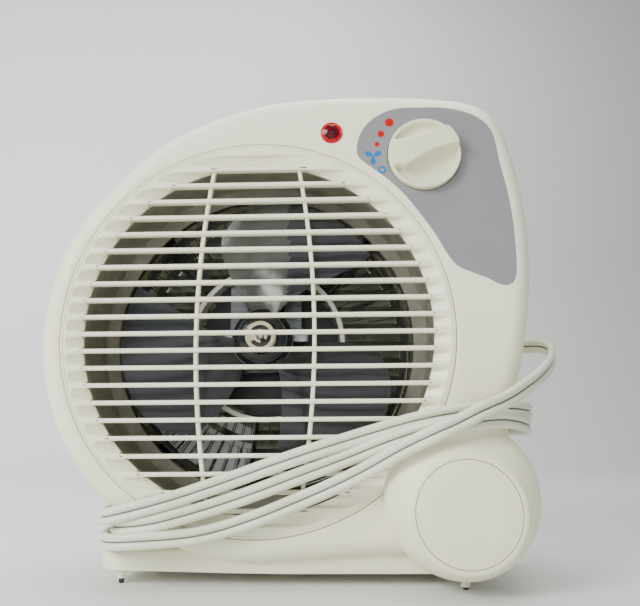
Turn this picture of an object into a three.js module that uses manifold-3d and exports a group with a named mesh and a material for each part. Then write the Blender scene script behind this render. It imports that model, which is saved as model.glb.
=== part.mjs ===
// Fan heater with a round louvred front, a corner control panel, a low base bar and a wound flat cord.
// Millimetres, +Z up, the front faces -Y. Shapes are drawn about the grille's centre on the front plane,
// then the whole object is moved so that its feet stand on z = 0 under the middle of its box.
import * as THREE from 'three';
import { mergeVertices } from 'three/addons/utils/BufferGeometryUtils.js';
import Module from 'manifold-3d';

const wasm = await Module();
wasm.setup();

// ---- driving dimensions -------------------------------------------------------------------------
const GAP = 0.3; // clearance between touching pieces
const FLOOR = -129; // floor level below the grille's centre
const ORIGIN = new THREE.Vector3(-14.84, -41.25, -FLOOR); // where the grille's centre goes

const BODY_R = 117.5; // round part of the body
const BODY_DEPTH = 96;
const PART_Y = 50; // parting plane between the front and rear shells
const EDGE_R = 10; // rounding of the front and rear edges
const WALL = 2.4;

const SEAM_R = 105; // outer edge of the grille insert
const OPEN_R = 94; // air opening
const BAR_PITCH = 9.12;
const BAR_COUNT = 11; // bars above and below the middle one, the last of them blind
const BAR_T = 2.4;
const BAR_DEPTH = 5.2;
const RIB = { x: 31.6, bow: 513, front: 1.8, back: 5 };

const DUCT = { inner: 94.5, outer: 96.3, front: 7, back: 45, flange: 100, lip: 87, lipT: 1.6 };
const NUT = { r: 8.4, recess: 5.8, depth: 2.6, front: 15 };
const FAN = { r: 82, hub: 17.5, front: 22, back: 36, blades: 3 };
const SHAFT_R = 2.5;
const REAR_R = 88; // rear air inlet
const INLET = { pitch: 11.4, count: 7, slat: 7.6, uprights: [-30, 30] };

const KNOB = {
  x: 91.2, z: 97, r: 19.8, front: -4, back: 4, floor: -0.8,
  grip: -8, // front of the raised grip
  hub: 6, hubBack: 9, hole: 1,
};
const KNOB_HOLE = KNOB.r + 0.5;
const GRIP = [ // outline of the raised grip about the knob's centre, wide end at the upper right
  [18.6, 4.5], [16.4, 10.2], [12.8, 14.4], [5, 10.6], [-4, 5.4], [-14, -1], [-16.6, -6.4],
  [-11, -7.6], [-4.6, -3.6], [3.4, 0.4],
];
const SWITCH = { half: 13, front: 9.6, back: 34, collar: 8, shaft: 3 };
const LAMP = { x: 40.5, z: 111.1, r: 6.1 };
const PANEL_T = 1;

const BASE = {
  left: -84, top: -110.8, bottom: -123.2, front: 9, back: 108,
  knuckle: 37.6, // radius of the round end behind the drum
  corner: 7, // upper left corner, seen from the front
  plan: 16, // left corners, seen from above
};
const BASE_ROOF = -119.8; // inside height of the bar under the body
const COVER_T = 1.6;
const POCKET = { left: -78.4, right: -52, front: 26, back: 90, roof: -113.4 }; // holds the tip-over switch
const DRUM = { x: 103.2, z: -84.8, back: 8.6 };
const DRUM_RINGS = [ // radius, depth and drop of the centre
  [38.4, -5, 0], [37.8, -9, -0.4], [35, -15, -2], [31.5, -20, -4], [28.6, -23.6, -4.9], [27, -25, -5.2],
];
const CAP = { r: 24.8, drop: -5.2, front: -25.5, back: -23 };
const POST_R = 2.6;
const BASE_FEET = { foot_front_left: [-72, 18], foot_rear_left: [-72, 100], foot_rear_right: [104.6, 100] };
const DRUM_FOOT = [104.6, 3];
const FEET = { ...BASE_FEET, foot_front_right: DRUM_FOOT };
const POST_END = -126.4; // top of the rubber tips
const TIP_R = { top: 1.8, bottom: 1.3 };
const TIP = { x: -60, y: 60, r: 2, head: -117.4 }; // tip-over switch plunger

const MOTOR = { half: 21, low: -18, high: 33, front: 44, back: 60, bore: 11.3, limb: 24, window: 15 };
const MOTOR_SCREW = { x: 17.5, r: 1.5, front: 36.5, back: 66 };
const BRACKET = { half: 24, tall: 6.5, front: 38, frontBack: 42, rear: 62, rearBack: 65 };
const MOUNT = {
  inner: 87, outer: 94, front: 45.5, back: 47.5, // ring behind the duct
  rear: 66.6, rearBack: 68.6, disc: 43, // plate behind the motor
  arm: 5, leg: 88.4, end: 92,
};
const ELEMENT = { inner: 44, outer: 84, front: 48, back: 61, boards: 6, board: 0.8, foot: 66.2 };
const WIRES = { heating_wire_inner: [49, 59], heating_wire_outer: [66, 78] };
const WIRE_Y = [51, 57];

const CORD = { width: 8.5, thick: 4.3, steps: 80, sides: 8 };
const SLEEVE = { length: 26, root: 11, tip: 9.2, flat: 0.66, foot: 6 }; // strain relief
const PLUG = {
  length: 30, wide: 12.5, nose: 2.8, tall: 8.6, lift: 0.1,
  blade: 16, spread: 6.35, bladeThick: 1.5, bladeTall: 6.4,
};

// ---- colours ------------------------------------------------------------------------------------
const CREAM = ['#e9e6df', 0.45, 0];
const GREY = ['#b9b9be', 0.5, 0];
const DUCT_GREY = ['#8b867b', 0.6, 0.1];
const SMOKE = ['#4a4c50', 0.2, 0];
const RED = ['#c4161c', 0.2, 0];
const STEEL = ['#a9adb2', 0.35, 0.9];
const COPPER = ['#b4683a', 0.4, 0.9];
const MICA = ['#d8d2c4', 0.6, 0];
const WIRE = ['#5f5a55', 0.5, 0.8];
const RUBBER = ['#26262a', 0.85, 0];
const CORD_GREY = ['#cfd2d3', 0.5, 0];
const BLACK = ['#1e1f22', 0.5, 0];
const BRASS = ['#c9a44c', 0.3, 0.9];

// ---- solids -------------------------------------------------------------------------------------
function toSolid(geometry) {
  const bare = geometry.index ? geometry.toNonIndexed() : geometry.clone();
  bare.deleteAttribute('normal');
  bare.deleteAttribute('uv');
  const merged = mergeVertices(bare, 1e-3);
  return new wasm.Manifold(new wasm.Mesh({
    numProp: 3,
    vertProperties: new Float32Array(merged.attributes.position.array),
    triVerts: new Uint32Array(merged.index.array),
  }));
}

function toGeometry(solid) {
  const mesh = solid.getMesh();
  const geometry = new THREE.BufferGeometry();
  geometry.setAttribute('position', new THREE.BufferAttribute(mesh.vertProperties.slice(), 3));
  geometry.setIndex(new THREE.BufferAttribute(mesh.triVerts.slice(), 1));
  geometry.computeVertexNormals();
  return geometry;
}

const solidOf = (shape) => (shape instanceof THREE.BufferGeometry ? toSolid(shape) : shape);

function join(...pieces) {
  return pieces.map(solidOf).reduce((a, b) => a.add(b));
}

function cut(piece, ...tools) {
  return tools.map(solidOf).reduce((a, b) => a.subtract(b), solidOf(piece));
}

function common(a, b) {
  return solidOf(a).intersect(solidOf(b));
}

// a box between two corners
function box(x0, y0, z0, x1, y1, z1) {
  const geometry = new THREE.BoxGeometry(x1 - x0, y1 - y0, z1 - z0);
  return geometry.translate((x0 + x1) / 2, (y0 + y1) / 2, (z0 + z1) / 2);
}

// a cylinder along Y, between two depths
function rod(x, z, r, y0, y1, sides = 24, rBack = r) {
  const geometry = new THREE.CylinderGeometry(rBack, r, y1 - y0, sides);
  return geometry.translate(x, (y0 + y1) / 2, 0).translate(0, 0, z);
}

// a cylinder along Z, between two heights
function post(x, y, r, z0, z1, sides = 16, rTop = r) {
  const geometry = new THREE.CylinderGeometry(rTop, r, z1 - z0, sides).rotateX(Math.PI / 2);
  return geometry.translate(x, y, (z0 + z1) / 2);
}

// a solid of revolution about an axis along Y: profile points are [radius, depth]
function turned(profile, x = 0, z = 0, sides = 64) {
  const points = profile.map(([r, y]) => new THREE.Vector2(r, y));
  return new THREE.LatheGeometry(points, sides).translate(x, 0, z);
}

// a square-edged ring about the fan's axis
function band([r0, r1], y0, y1) {
  return turned([[r0, y0], [r1, y0], [r1, y1], [r0, y1], [r0, y0]], 0, 0, 24);
}

// a flat outline, drawn in X and Z, with its thickness along Y
function plate(shape, y0, y1, options = {}) {
  const bevel = options.bevel ?? 0;
  const geometry = new THREE.ExtrudeGeometry(shape, {
    depth: y1 - y0 - 2 * bevel,
    bevelEnabled: bevel > 0,
    bevelThickness: bevel,
    bevelSize: bevel,
    bevelOffset: (options.offset ?? 0) - bevel,
    bevelSegments: options.segments ?? 4,
    curveSegments: options.curve ?? 8,
  });
  return geometry.rotateX(Math.PI / 2).translate(0, y1 - bevel, 0);
}

// the same outline grown or shrunk all round
function offsetOutline(shape, amount) {
  const points = shape.getPoints();
  const count = points.length - (points[0].distanceTo(points.at(-1)) < 1e-6 ? 1 : 0);
  const moved = [];
  for (let i = 0; i < count; i += 1) {
    const here = points[i];
    const back = points[(i + count - 1) % count];
    const next = points[(i + 1) % count];
    const along = next.clone().sub(back).normalize();
    moved.push(new THREE.Vector2(here.x + along.y * amount, here.y - along.x * amount));
  }
  return new THREE.Shape(moved);
}

function evenOutline(shape, count) {
  const points = shape.getSpacedPoints(count);
  points.pop();
  return new THREE.Shape(points);
}

const degrees = (angle) => THREE.MathUtils.degToRad(angle);

// ---- body outline -------------------------------------------------------------------------------
// Round on the left, a rounded corner at the upper right, a side that leans in to the neck,
// and a lower right corner round the drum. Drawn anticlockwise.
function bodyOutline() {
  const corner = 28;
  const shape = new THREE.Shape();
  shape.moveTo(0, -BODY_R);
  shape.lineTo(DRUM.x, DRUM.z - corner);
  shape.absarc(DRUM.x, DRUM.z, corner, degrees(-90), 0, false);
  shape.lineTo(DRUM.x + corner, -52);
  shape.splineThru([
    new THREE.Vector2(132.4, -38),
    new THREE.Vector2(137.4, -25),
    new THREE.Vector2(142.5, -3),
    new THREE.Vector2(146, 20),
    new THREE.Vector2(147.2, 42),
    new THREE.Vector2(145.6, 72),
    new THREE.Vector2(141.5, 95),
    new THREE.Vector2(136.5, 113),
    new THREE.Vector2(130.5, 123.5),
    new THREE.Vector2(119, 130),
    new THREE.Vector2(98, 133.6),
    new THREE.Vector2(60, 135.2),
    new THREE.Vector2(26, 134.4),
    new THREE.Vector2(-4.6, 130),
    new THREE.Vector2(-48.3, 113),
    new THREE.Vector2(-69, 97),
    new THREE.Vector2(-90, 75.5),
  ]);
  shape.absarc(0, 0, BODY_R, degrees(140), degrees(270), false);
  return evenOutline(shape, 56);
}

const OUTLINE = bodyOutline();
const BIG = 400;

function bodySolid(offset, inset, segments) {
  const shape = offsetOutline(OUTLINE, offset);
  return solidOf(plate(shape, inset, BODY_DEPTH - inset, { bevel: EDGE_R - Math.max(inset, 0), segments }));
}

const BODY_OUTER = bodySolid(0, 0, 3);
const BODY_HOLLOW = bodySolid(-WALL, WALL, 1);
const BODY_CLEAR = bodySolid(GAP, -GAP, 3);

function panelOutline() {
  const shape = new THREE.Shape();
  shape.moveTo(54.2, 101.3);
  shape.bezierCurveTo(54.4, 112, 60, 125, 83, 125.2);
  shape.lineTo(101, 124.9);
  shape.bezierCurveTo(119, 123.5, 128.5, 119, 130.3, 107);
  shape.bezierCurveTo(134, 88, 137.4, 55, 137, 32);
  shape.bezierCurveTo(137, 23, 133, 22.3, 128, 25);
  shape.bezierCurveTo(119, 31, 107, 30.5, 103.2, 38);
  shape.bezierCurveTo(97, 54, 80, 78, 58, 94);
  shape.bezierCurveTo(55.5, 96, 54.2, 98, 54.2, 101.3);
  const turnedRound = new THREE.Shape(evenOutline(shape, 36).getPoints().reverse());
  return turnedRound;
}

const PANEL_OUTLINE = panelOutline();

// ---- parts --------------------------------------------------------------------------------------
const parts = [];

function add(name, shape, [color, roughness, metalness]) {
  const geometry = shape instanceof THREE.BufferGeometry ? shape : toGeometry(shape);
  const material = new THREE.MeshStandardMaterial({ color, roughness, metalness });
  const mesh = new THREE.Mesh(geometry, material);
  mesh.name = name;
  parts.push(mesh);
}

// ---- casings ------------------------------------------------------------------------------------
const SCREWS = [[-86, 62], [-86, -62], [116, 60], [100, -92]]; // join the two shells, from behind
const SCREW = { shank: 1.6, head: 3.2, headY: PART_Y + 12, tip: PART_Y - 10 };

function frontHousing() {
  const half = box(-BIG, -BIG, -BIG, BIG, PART_Y - GAP / 2, BIG);
  const bosses = SCREWS.map(([x, z]) => rod(x, z, 4, WALL / 2, PART_Y - GAP / 2, 8));
  const shell = join(common(cut(BODY_OUTER, BODY_HOLLOW), half), ...bosses);
  return cut(
    shell,
    rod(0, 0, SEAM_R + GAP, -1, EDGE_R + 4, 60),
    plate(offsetOutline(PANEL_OUTLINE, GAP), -1, PANEL_T + GAP),
    rod(KNOB.x, KNOB.z, KNOB_HOLE, -1, WALL * 2, 32),
    rod(LAMP.x, LAMP.z, LAMP.r + GAP, -1, WALL * 2, 20),
    ...SCREWS.map(([x, z]) => rod(x, z, SCREW.shank + GAP, SCREW.tip - 2, PART_Y + 1, 8)),
  );
}

function rearHousing() {
  const half = box(-BIG, PART_Y + GAP / 2, -BIG, BIG, BIG, BIG);
  const bosses = SCREWS.map(([x, z]) => rod(x, z, 5.4, PART_Y + GAP / 2, BODY_DEPTH - 1, 8));
  const shell = join(common(cut(BODY_OUTER, BODY_HOLLOW), half), ...bosses);
  return cut(
    shell,
    rod(0, 0, REAR_R + GAP, BODY_DEPTH - EDGE_R, BODY_DEPTH + 1, 48),
    ...SCREWS.map(([x, z]) => rod(x, z, SCREW.shank + GAP, PART_Y - 1, SCREW.headY, 8)),
    ...SCREWS.map(([x, z]) => rod(x, z, SCREW.head + GAP, SCREW.headY - 3, BODY_DEPTH + 1, 10)),
  );
}

// One bowed rib, as a strip of a thin ring as tall as the opening.
function rib(side) {
  const centre = side * (RIB.x - RIB.bow) - 1.2;
  const reach = Math.asin((OPEN_R - 1) / RIB.bow);
  const start = side > 0 ? -reach : Math.PI - reach;
  const outline = new THREE.Shape();
  outline.absarc(centre, 0, RIB.bow + BAR_T / 2, start, start + 2 * reach, false);
  outline.absarc(centre, 0, RIB.bow - BAR_T / 2, start + 2 * reach, start, true);
  return plate(outline, RIB.front, RIB.back, { curve: 3 });
}

// Bars across a round opening, from one side of its rim to the other.
function bars(reach, y0, y1, pitch, count, thick) {
  const made = [];
  for (let i = -count; i <= count; i += 1) {
    const z = i * pitch;
    const half = Math.sqrt(reach ** 2 - z * z);
    made.push(box(-half, y0, z - thick / 2, half, y1, z + thick / 2));
  }
  return made;
}

function frontGrille() {
  const ring = turned([
    [OPEN_R, 4.2], [SEAM_R - 3.4, 0.8], [SEAM_R - 1, 0], [SEAM_R, 0.6], [SEAM_R, 6],
    [OPEN_R, 6], [OPEN_R, 4.2],
  ], 0, 0, 44);
  return join(ring, ...bars(SEAM_R - 3, 0, BAR_DEPTH, BAR_PITCH, BAR_COUNT, BAR_T), rib(-1), rib(1));
}

function rearGrille() {
  const back = BODY_DEPTH;
  const rim = turned([
    [REAR_R - 5, back - 5], [REAR_R, back - 5], [REAR_R, back], [REAR_R - 5, back], [REAR_R - 5, back - 5],
  ], 0, 0, 32);
  const slats = bars(REAR_R - 4, back - 3.4, back - 0.6, INLET.pitch, INLET.count, INLET.slat);
  const uprights = INLET.uprights.map((x) => {
    const half = Math.sqrt((REAR_R - 3) ** 2 - x * x);
    return box(x - 2, back - 5, -half, x + 2, back - 1.2, half);
  });
  return join(rim, ...slats, ...uprights);
}

function controlPanel() {
  return cut(plate(PANEL_OUTLINE, 0, PANEL_T), rod(KNOB.x, KNOB.z, KNOB_HOLE, -1, PANEL_T + 1, 32));
}

// ---- control ------------------------------------------------------------------------------------
// A shallow dish with a raised grip across it and a hub behind it for the switch's shaft.
function selectorKnob() {
  const { x, z, r, front, back, floor, grip, hub, hubBack, hole } = KNOB;
  const dish = turned([
    [0, floor], [r - 3, floor], [r - 1.9, front + 0.7], [r - 1, front], [r, front + 0.9], [r, back],
    [0, back], [0, floor],
  ], x, z, 32);
  const outline = new THREE.Shape(GRIP.map((point) => new THREE.Vector2(...point)));
  const bar = plate(outline, grip, floor + 1).translate(x, 0, z);
  const boss = rod(x, z, hub, back - 1, hubBack, 16);
  return cut(join(dish, bar, boss), rod(x, z, SWITCH.shaft + GAP, hole, hubBack + 1, 12));
}

function rotarySwitch() {
  const { half, front, back, collar, shaft } = SWITCH;
  const block = box(KNOB.x - half, front + 4, KNOB.z - half, KNOB.x + half, back, KNOB.z + half);
  const neck = rod(KNOB.x, KNOB.z, collar, front, front + 5, 16);
  return cut(join(block, neck), rod(KNOB.x, KNOB.z, shaft + GAP, front - 1, front + 10, 12));
}

function lampLens() {
  const { x, z, r } = LAMP;
  return turned([[0, -2.4], [2.8, -2], [4.8, -1], [r, 0.3], [r, 5], [0, 5], [0, -2.4]], x, z, 20);
}

// ---- air path -----------------------------------------------------------------------------------
function fanDuct() {
  const { inner, outer, front, back, flange, lip, lipT } = DUCT;
  return turned([
    [inner, front], [flange, front], [flange, front + WALL], [outer, front + WALL],
    [outer, back], [lip, back], [lip, back - lipT], [inner, back - lipT], [inner, front],
  ], 0, 0, 36);
}

// A closed slab from two grids of points, one for each face.
function slab(points, rows, columns) {
  const faces = [];
  const id = (i, j, side) => (side * rows + i) * columns + j;
  const quad = (a, b, c, d) => faces.push(a, b, c, a, c, d);
  const [endRow, endColumn] = [rows - 1, columns - 1];
  for (let i = 0; i < endRow; i += 1) {
    for (let j = 0; j < endColumn; j += 1) {
      quad(id(i, j, 0), id(i + 1, j, 0), id(i + 1, j + 1, 0), id(i, j + 1, 0));
      quad(id(i, j, 1), id(i, j + 1, 1), id(i + 1, j + 1, 1), id(i + 1, j, 1));
    }
    quad(id(i, 0, 0), id(i, 0, 1), id(i + 1, 0, 1), id(i + 1, 0, 0));
    quad(id(i, endColumn, 0), id(i + 1, endColumn, 0), id(i + 1, endColumn, 1), id(i, endColumn, 1));
  }
  for (let j = 0; j < endColumn; j += 1) {
    quad(id(0, j, 0), id(0, j + 1, 0), id(0, j + 1, 1), id(0, j, 1));
    quad(id(endRow, j, 0), id(endRow, j, 1), id(endRow, j + 1, 1), id(endRow, j + 1, 0));
  }
  const geometry = new THREE.BufferGeometry();
  geometry.setAttribute('position', new THREE.BufferAttribute(new Float32Array(points.flat()), 3));
  geometry.setIndex(faces);
  return geometry;
}

// A wide twisted blade: rows run from the hub to the tip, columns from one edge to the other.
// Its outer corner is rounded off on the edge that trails.
function fanBlade() {
  const [rows, columns, thick] = [5, 6, 1.4];
  const root = FAN.hub - 2;
  const middle = (FAN.front + FAN.back) / 2;
  const points = [];
  for (const side of [0, 1]) {
    for (let i = 0; i < rows; i += 1) {
      for (let j = 0; j < columns; j += 1) {
        const t = i / (rows - 1);
        const u = (2 * j) / (columns - 1) - 1;
        const corner = 0.06 * u * u + 0.17 * Math.max(0, -u) ** 3;
        const r = root + (FAN.r - root) * t * (1 - corner * t);
        const spread = 29 + 10 * Math.sin(degrees(120) * t);
        const angle = degrees(u * spread - 4 + 20 * t - 6 * t * t);
        const y = middle - (6 - 1.6 * t) * u + side * thick;
        points.push([r * Math.cos(angle), y, r * Math.sin(angle)]);
      }
    }
  }
  return slab(points, rows, columns);
}

function smokeFan() {
  const bore = SHAFT_R + GAP;
  const { hub, front } = FAN;
  const cup = turned([
    [bore, front], [9, front], [13.5, front + 2], [hub - 0.5, front + 6], [hub, front + 14],
    [hub - 2, front + 14],
    [hub - 3, front + 8], [bore, front + 7], [bore, front],
  ], 0, 0, 20);
  const blades = [];
  for (let i = 0; i < FAN.blades; i += 1) {
    blades.push(fanBlade().rotateY(degrees(-85 + (360 * i) / FAN.blades)));
  }
  return join(cup, ...blades);
}

function fanNut() {
  const { r, recess, depth, front } = NUT;
  const back = FAN.front - GAP;
  const cup = turned([
    [0, front + depth], [recess, front + depth], [recess + 0.3, front], [r - 0.5, front], [r, front + 1],
    [r, back], [0, back], [0, front + depth],
  ], 0, 0, 20);
  return cut(cup, rod(0, 0, SHAFT_R + GAP, front + 4, FAN.front, 12));
}

// ---- motor --------------------------------------------------------------------------------------
function motorStator() {
  const { half, low, high, front, back, bore, limb, window } = MOTOR;
  const stack = box(-half, front, low, half, back, high);
  const coilWindow = box(-11, front - 1, window, 11, back + 1, limb);
  const rotorBore = rod(0, 0, bore, front - 1, back + 1, 24);
  return cut(stack, rotorBore, coilWindow, ...motorScrewHoles(front - 1, back + 1));
}

function motorScrewHoles(y0, y1) {
  return [-1, 1].map((side) => rod(side * MOTOR_SCREW.x, 0, MOTOR_SCREW.r + GAP, y0, y1, 8));
}

function motorCoil() {
  const { front, back, limb, high, window } = MOTOR;
  const spool = box(-10.6, front - 4, window + 3, 10.6, back + 4, high + 5);
  return cut(spool, box(-12, front - GAP, limb - GAP, 12, back + GAP, high + GAP));
}

function bearingBracket(y0, y1) {
  const { half, tall } = BRACKET;
  const bar = box(-half, y0, -tall, half, y1, tall);
  const middle = rod(0, 0, 9, y0 - 1, y1 + 1, 20);
  return cut(join(bar, middle), rod(0, 0, 5, y0 - 2, y1 + 2, 16), ...motorScrewHoles(y0 - 2, y1 + 2));
}

function bush(y0, y1) {
  return cut(rod(0, 0, 5 - GAP, y0 - 1, y1 + 1, 16), rod(0, 0, SHAFT_R + GAP, y0 - 2, y1 + 2, 12));
}

// A ring behind the duct, with four legs and four arms that carry the motor and the element.
function motorMount() {
  const { inner, outer, front, back, rear, rearBack, disc, arm: half, leg, end } = MOUNT;
  const ring = band([inner, outer], front, back);
  const bracket = join(
    box(0, rear, -half, end, rearBack, half),
    box(leg, back - 0.5, -half, end, rearBack, half),
  );
  const arms = [45, 135, 225, 315].map((angle) => bracket.rotate([0, angle, 0]));
  return join(ring, rod(0, 0, disc, rear, rearBack, 28), ...arms);
}

// ---- heating element ----------------------------------------------------------------------------
function micaFrame() {
  const { inner, outer, front, back, boards, board, foot } = ELEMENT;
  const made = [band([inner, inner + board], front, back), band([outer - board, outer], front, back)];
  for (let i = 0; i < boards; i += 1) {
    const sheet = box(inner + board / 2, front, -board / 2, outer - board / 2, foot, board / 2);
    made.push(solidOf(sheet).rotate([0, 22.5 + (360 * i) / boards, 0]));
  }
  const [near, far] = [WIRE_Y[0] - GAP, WIRE_Y[1] + GAP];
  const slots = Object.values(WIRES).map(([r0, r1]) => band([r0 - GAP, r1 + GAP], near, far));
  return cut(join(...made), ...slots);
}

// ---- base and drum ------------------------------------------------------------------------------
// The base seen from above, with its two left corners rounded, as a tall prism.
function basePlan(inset) {
  const round = BASE.plan - inset;
  const left = BASE.left + inset;
  const front = BASE.front + inset;
  const back = BASE.back - inset;
  const plan = new THREE.Shape();
  plan.moveTo(left + round, front);
  plan.lineTo(BIG, front);
  plan.lineTo(BIG, back);
  plan.lineTo(left + round, back);
  plan.absarc(left + round, back - round, round, degrees(90), degrees(180), false);
  plan.absarc(left + round, front + round, round, degrees(180), degrees(270), false);
  const prism = new THREE.ExtrudeGeometry(plan, { depth: BIG, bevelEnabled: false, curveSegments: 5 });
  return prism.translate(0, 0, -BIG / 2);
}

function baseSolid() {
  const { left, top, bottom, front, back, knuckle, corner } = BASE;
  const right = DRUM.x + 8;
  const end = new THREE.Shape();
  end.moveTo(left, bottom);
  end.lineTo(right, bottom);
  end.lineTo(right, top);
  end.lineTo(left + corner, top);
  end.absarc(left + corner, top - corner, corner, degrees(90), degrees(180), false);
  const bar = common(plate(end, front, back, { curve: 4 }), basePlan(0));
  const roundEnd = rod(DRUM.x, DRUM.z, knuckle, front, BODY_DEPTH - EDGE_R, 40);
  return cut(join(bar, roundEnd), BODY_CLEAR);
}

const footPost = ([x, y], top) => post(x, y, POST_R, POST_END + GAP, top, 10);

function base() {
  const { front, back, bottom } = BASE;
  const posts = Object.values(BASE_FEET).map((place) => footPost(place, BASE_ROOF + 1));
  const inside = box(-BIG, front, bottom - 1, DRUM.x, back, BASE_ROOF);
  const hollow = common(inside, basePlan(WALL));
  const pocket = box(POCKET.left, POCKET.front, bottom - 1, POCKET.right, POCKET.back, POCKET.roof);
  return join(cut(baseSolid(), hollow, pocket), ...posts);
}

function baseCover() {
  const { front, back, bottom } = BASE;
  const sheet = common(box(-BIG, front, bottom, DRUM.x - GAP, back, bottom + COVER_T), basePlan(WALL + GAP));
  const hole = (x, y, r) => post(x, y, r + GAP, bottom - 1, bottom + COVER_T + 1, 10);
  const holes = Object.values(BASE_FEET).map(([x, y]) => hole(x, y, POST_R));
  return cut(sheet, ...holes, hole(TIP.x, TIP.y, TIP.r));
}

function rubberFoot([x, y]) {
  return post(x, y, TIP_R.bottom, FLOOR, POST_END, 10, TIP_R.top);
}

// A round pod whose face slopes back above its cap: rings of [radius, depth, drop of the centre].
function drumShell() {
  const profile = DRUM_RINGS.map(([r, y]) => [r, y]).reverse();
  const face = profile[0][1];
  const widest = profile.at(-1)[0];
  const shape = turned([
    [0, face], ...profile, [widest, DRUM.back], [0, DRUM.back], [0, face],
  ], DRUM.x, DRUM.z, 32);
  const place = shape.attributes.position;
  for (let i = 0; i < place.count; i += 1) {
    const ring = DRUM_RINGS.find(([, y]) => Math.abs(y - place.getY(i)) < 0.01);
    if (ring) place.setZ(i, place.getZ(i) + ring[2]);
  }
  return shape;
}

function drum() {
  const capHole = rod(DRUM.x, DRUM.z + CAP.drop, CAP.r + GAP, -40, CAP.back + GAP, 32);
  const hollow = rod(DRUM.x, DRUM.z, DRUM_RINGS[0][0] - WALL, -4, DRUM.back + 1, 28);
  const foot = footPost(DRUM_FOOT, DRUM.z - DRUM_RINGS[0][0] + 1);
  return join(cut(drumShell(), hollow, capHole, BODY_CLEAR), foot);
}

function drumCap() {
  const { r, front, back } = CAP;
  return turned([
    [0, front], [r - 1.2, front + 0.2], [r, front + 1], [r, back], [0, back], [0, front],
  ], DRUM.x, DRUM.z + CAP.drop, 28);
}

// ---- tip-over switch ----------------------------------------------------------------------------
function tipPlunger() {
  const stem = post(TIP.x, TIP.y, TIP.r, FLOOR, TIP.head, 10);
  return join(stem, post(TIP.x, TIP.y, TIP.r + 1.6, TIP.head - 1.2, TIP.head, 12));
}

function tipSwitch() {
  return box(TIP.x - 5, TIP.y - 12, TIP.head + GAP, TIP.x + 5, TIP.y + 12, POCKET.roof - GAP);
}

// ---- cord ---------------------------------------------------------------------------------------
// The free cord: out of its sleeve, three times round the body and the neck, then down to its plug.
const ROUTE = [
  [14, 102.6, -100], [-6, 102.6, -100], [-28, 103, -100], [-46, 102.4, -100], [-61, 98, -100],
  [-72.8, 88, -100], [-77, 70, -100], [-77, 50, -100], [-77, 30, -100], [-75.2, 13, -99.6],
  [-67.4, -0.5, -98.6], [-51.8, -5.2, -96.6], [-27, -5, -90.4], [-2, -5, -82.5], [23, -5, -73.5],
  [48, -6, -64.5], [70, -12, -56], [90, -20, -50], [108, -19.4, -47.8], [123, -13, -46.6],
  [135.5, -1, -48.2], [143.1, 16, -50], [146, 36, -50.6], [146, 56, -51], [143.5, 75, -51.6],
  [136.4, 91, -52.2], [125, 100.4, -53.4], [108, 103, -56.6], [80, 103, -64], [50, 103, -72.4],
  [20, 103, -80.4], [-6, 104.5, -86.4], [-28, 107, -90.6], [-48, 107.6, -93.4], [-65.8, 102.6, -94.2],
  [-78.4, 90.8, -94.4], [-82.5, 72, -94.4], [-82.5, 50, -94.4], [-82.5, 29, -94.4], [-81, 12, -94.4],
  [-74.4, -2, -93.3], [-58.2, -6.2, -89.4], [-40, -5.6, -84.6], [-15, -5.4, -76.6], [10, -5.6, -68],
  [35, -6, -60], [60, -8, -52.6], [80, -12, -47], [98, -13, -43.6], [113, -10, -41.8],
  [126.8, -3.6, -40.9], [137.2, 6, -41.3], [145.1, 20, -41.8], [148.5, 38, -42], [148.5, 58, -42.4],
  [145.5, 78, -43], [138.1, 95, -44], [125.9, 105, -45.4], [108, 108.4, -49], [80, 108.4, -59.4],
  [50, 108.4, -70.6], [20, 108.4, -81.6], [-8, 108.6, -92], [-30, 109.6, -100], [-50, 109, -105.2],
  [-66.5, 103, -106.2], [-77.5, 90.6, -106.3], [-82.9, 72, -106.3], [-82.9, 50, -106.3],
  [-82.9, 29, -106.3], [-80.5, 12, -106.2], [-72.9, -1, -105.8], [-59.2, -5.6, -104.8],
  [-27, -5.6, -102], [-2, -6.2, -95], [23, -7.4, -85.4], [46, -11, -75.4], [60, -16.4, -68],
  [73, -22.4, -60.4], [87, -26, -53.6], [99, -26, -48.4], [112, -23.4, -42.2], [125, -16.4, -37],
  [139.1, -4.4, -29.5], [151, 10, -22.3], [160, 24, -14.9], [165.4, 40, -7.7], [165.8, 57, -2.9],
  [161, 75, -0.7], [151, 91, -0.3], [134.8, 102, -1.8], [116.3, 108.6, -6.1], [101, 113.4, -14],
  [89, 116, -27], [81, 116.6, -45], [76.6, 116.6, -66], [73, 116.6, -88], [68, 118, -106],
  [57, 121, -119], [41, 123, -124.3], [22, 123, -124.6],
].map((point) => new THREE.Vector3(...point));

// Keeps the flat cord's wide side upright, and turns it as little as it can where the cord runs up or down.
class FlatCordPath extends THREE.CatmullRomCurve3 {
  computeFrenetFrames(segments) {
    const frames = { tangents: [], normals: [], binormals: [] };
    const up = new THREE.Vector3(0, 0, 1);
    const last = new THREE.Vector3(0, -1, 0);
    for (let i = 0; i <= segments; i += 1) {
      const tangent = this.getTangentAt(i / segments);
      const level = new THREE.Vector3().crossVectors(up, tangent);
      const kept = last.clone().addScaledVector(tangent, -last.dot(tangent));
      const normal = level.length() > 0.5 ? level : kept;
      if (normal.dot(last) < 0) normal.negate();
      last.copy(normal.normalize());
      frames.tangents.push(tangent);
      frames.normals.push(normal);
      frames.binormals.push(new THREE.Vector3().crossVectors(tangent, normal));
    }
    return frames;
  }
}

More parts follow.
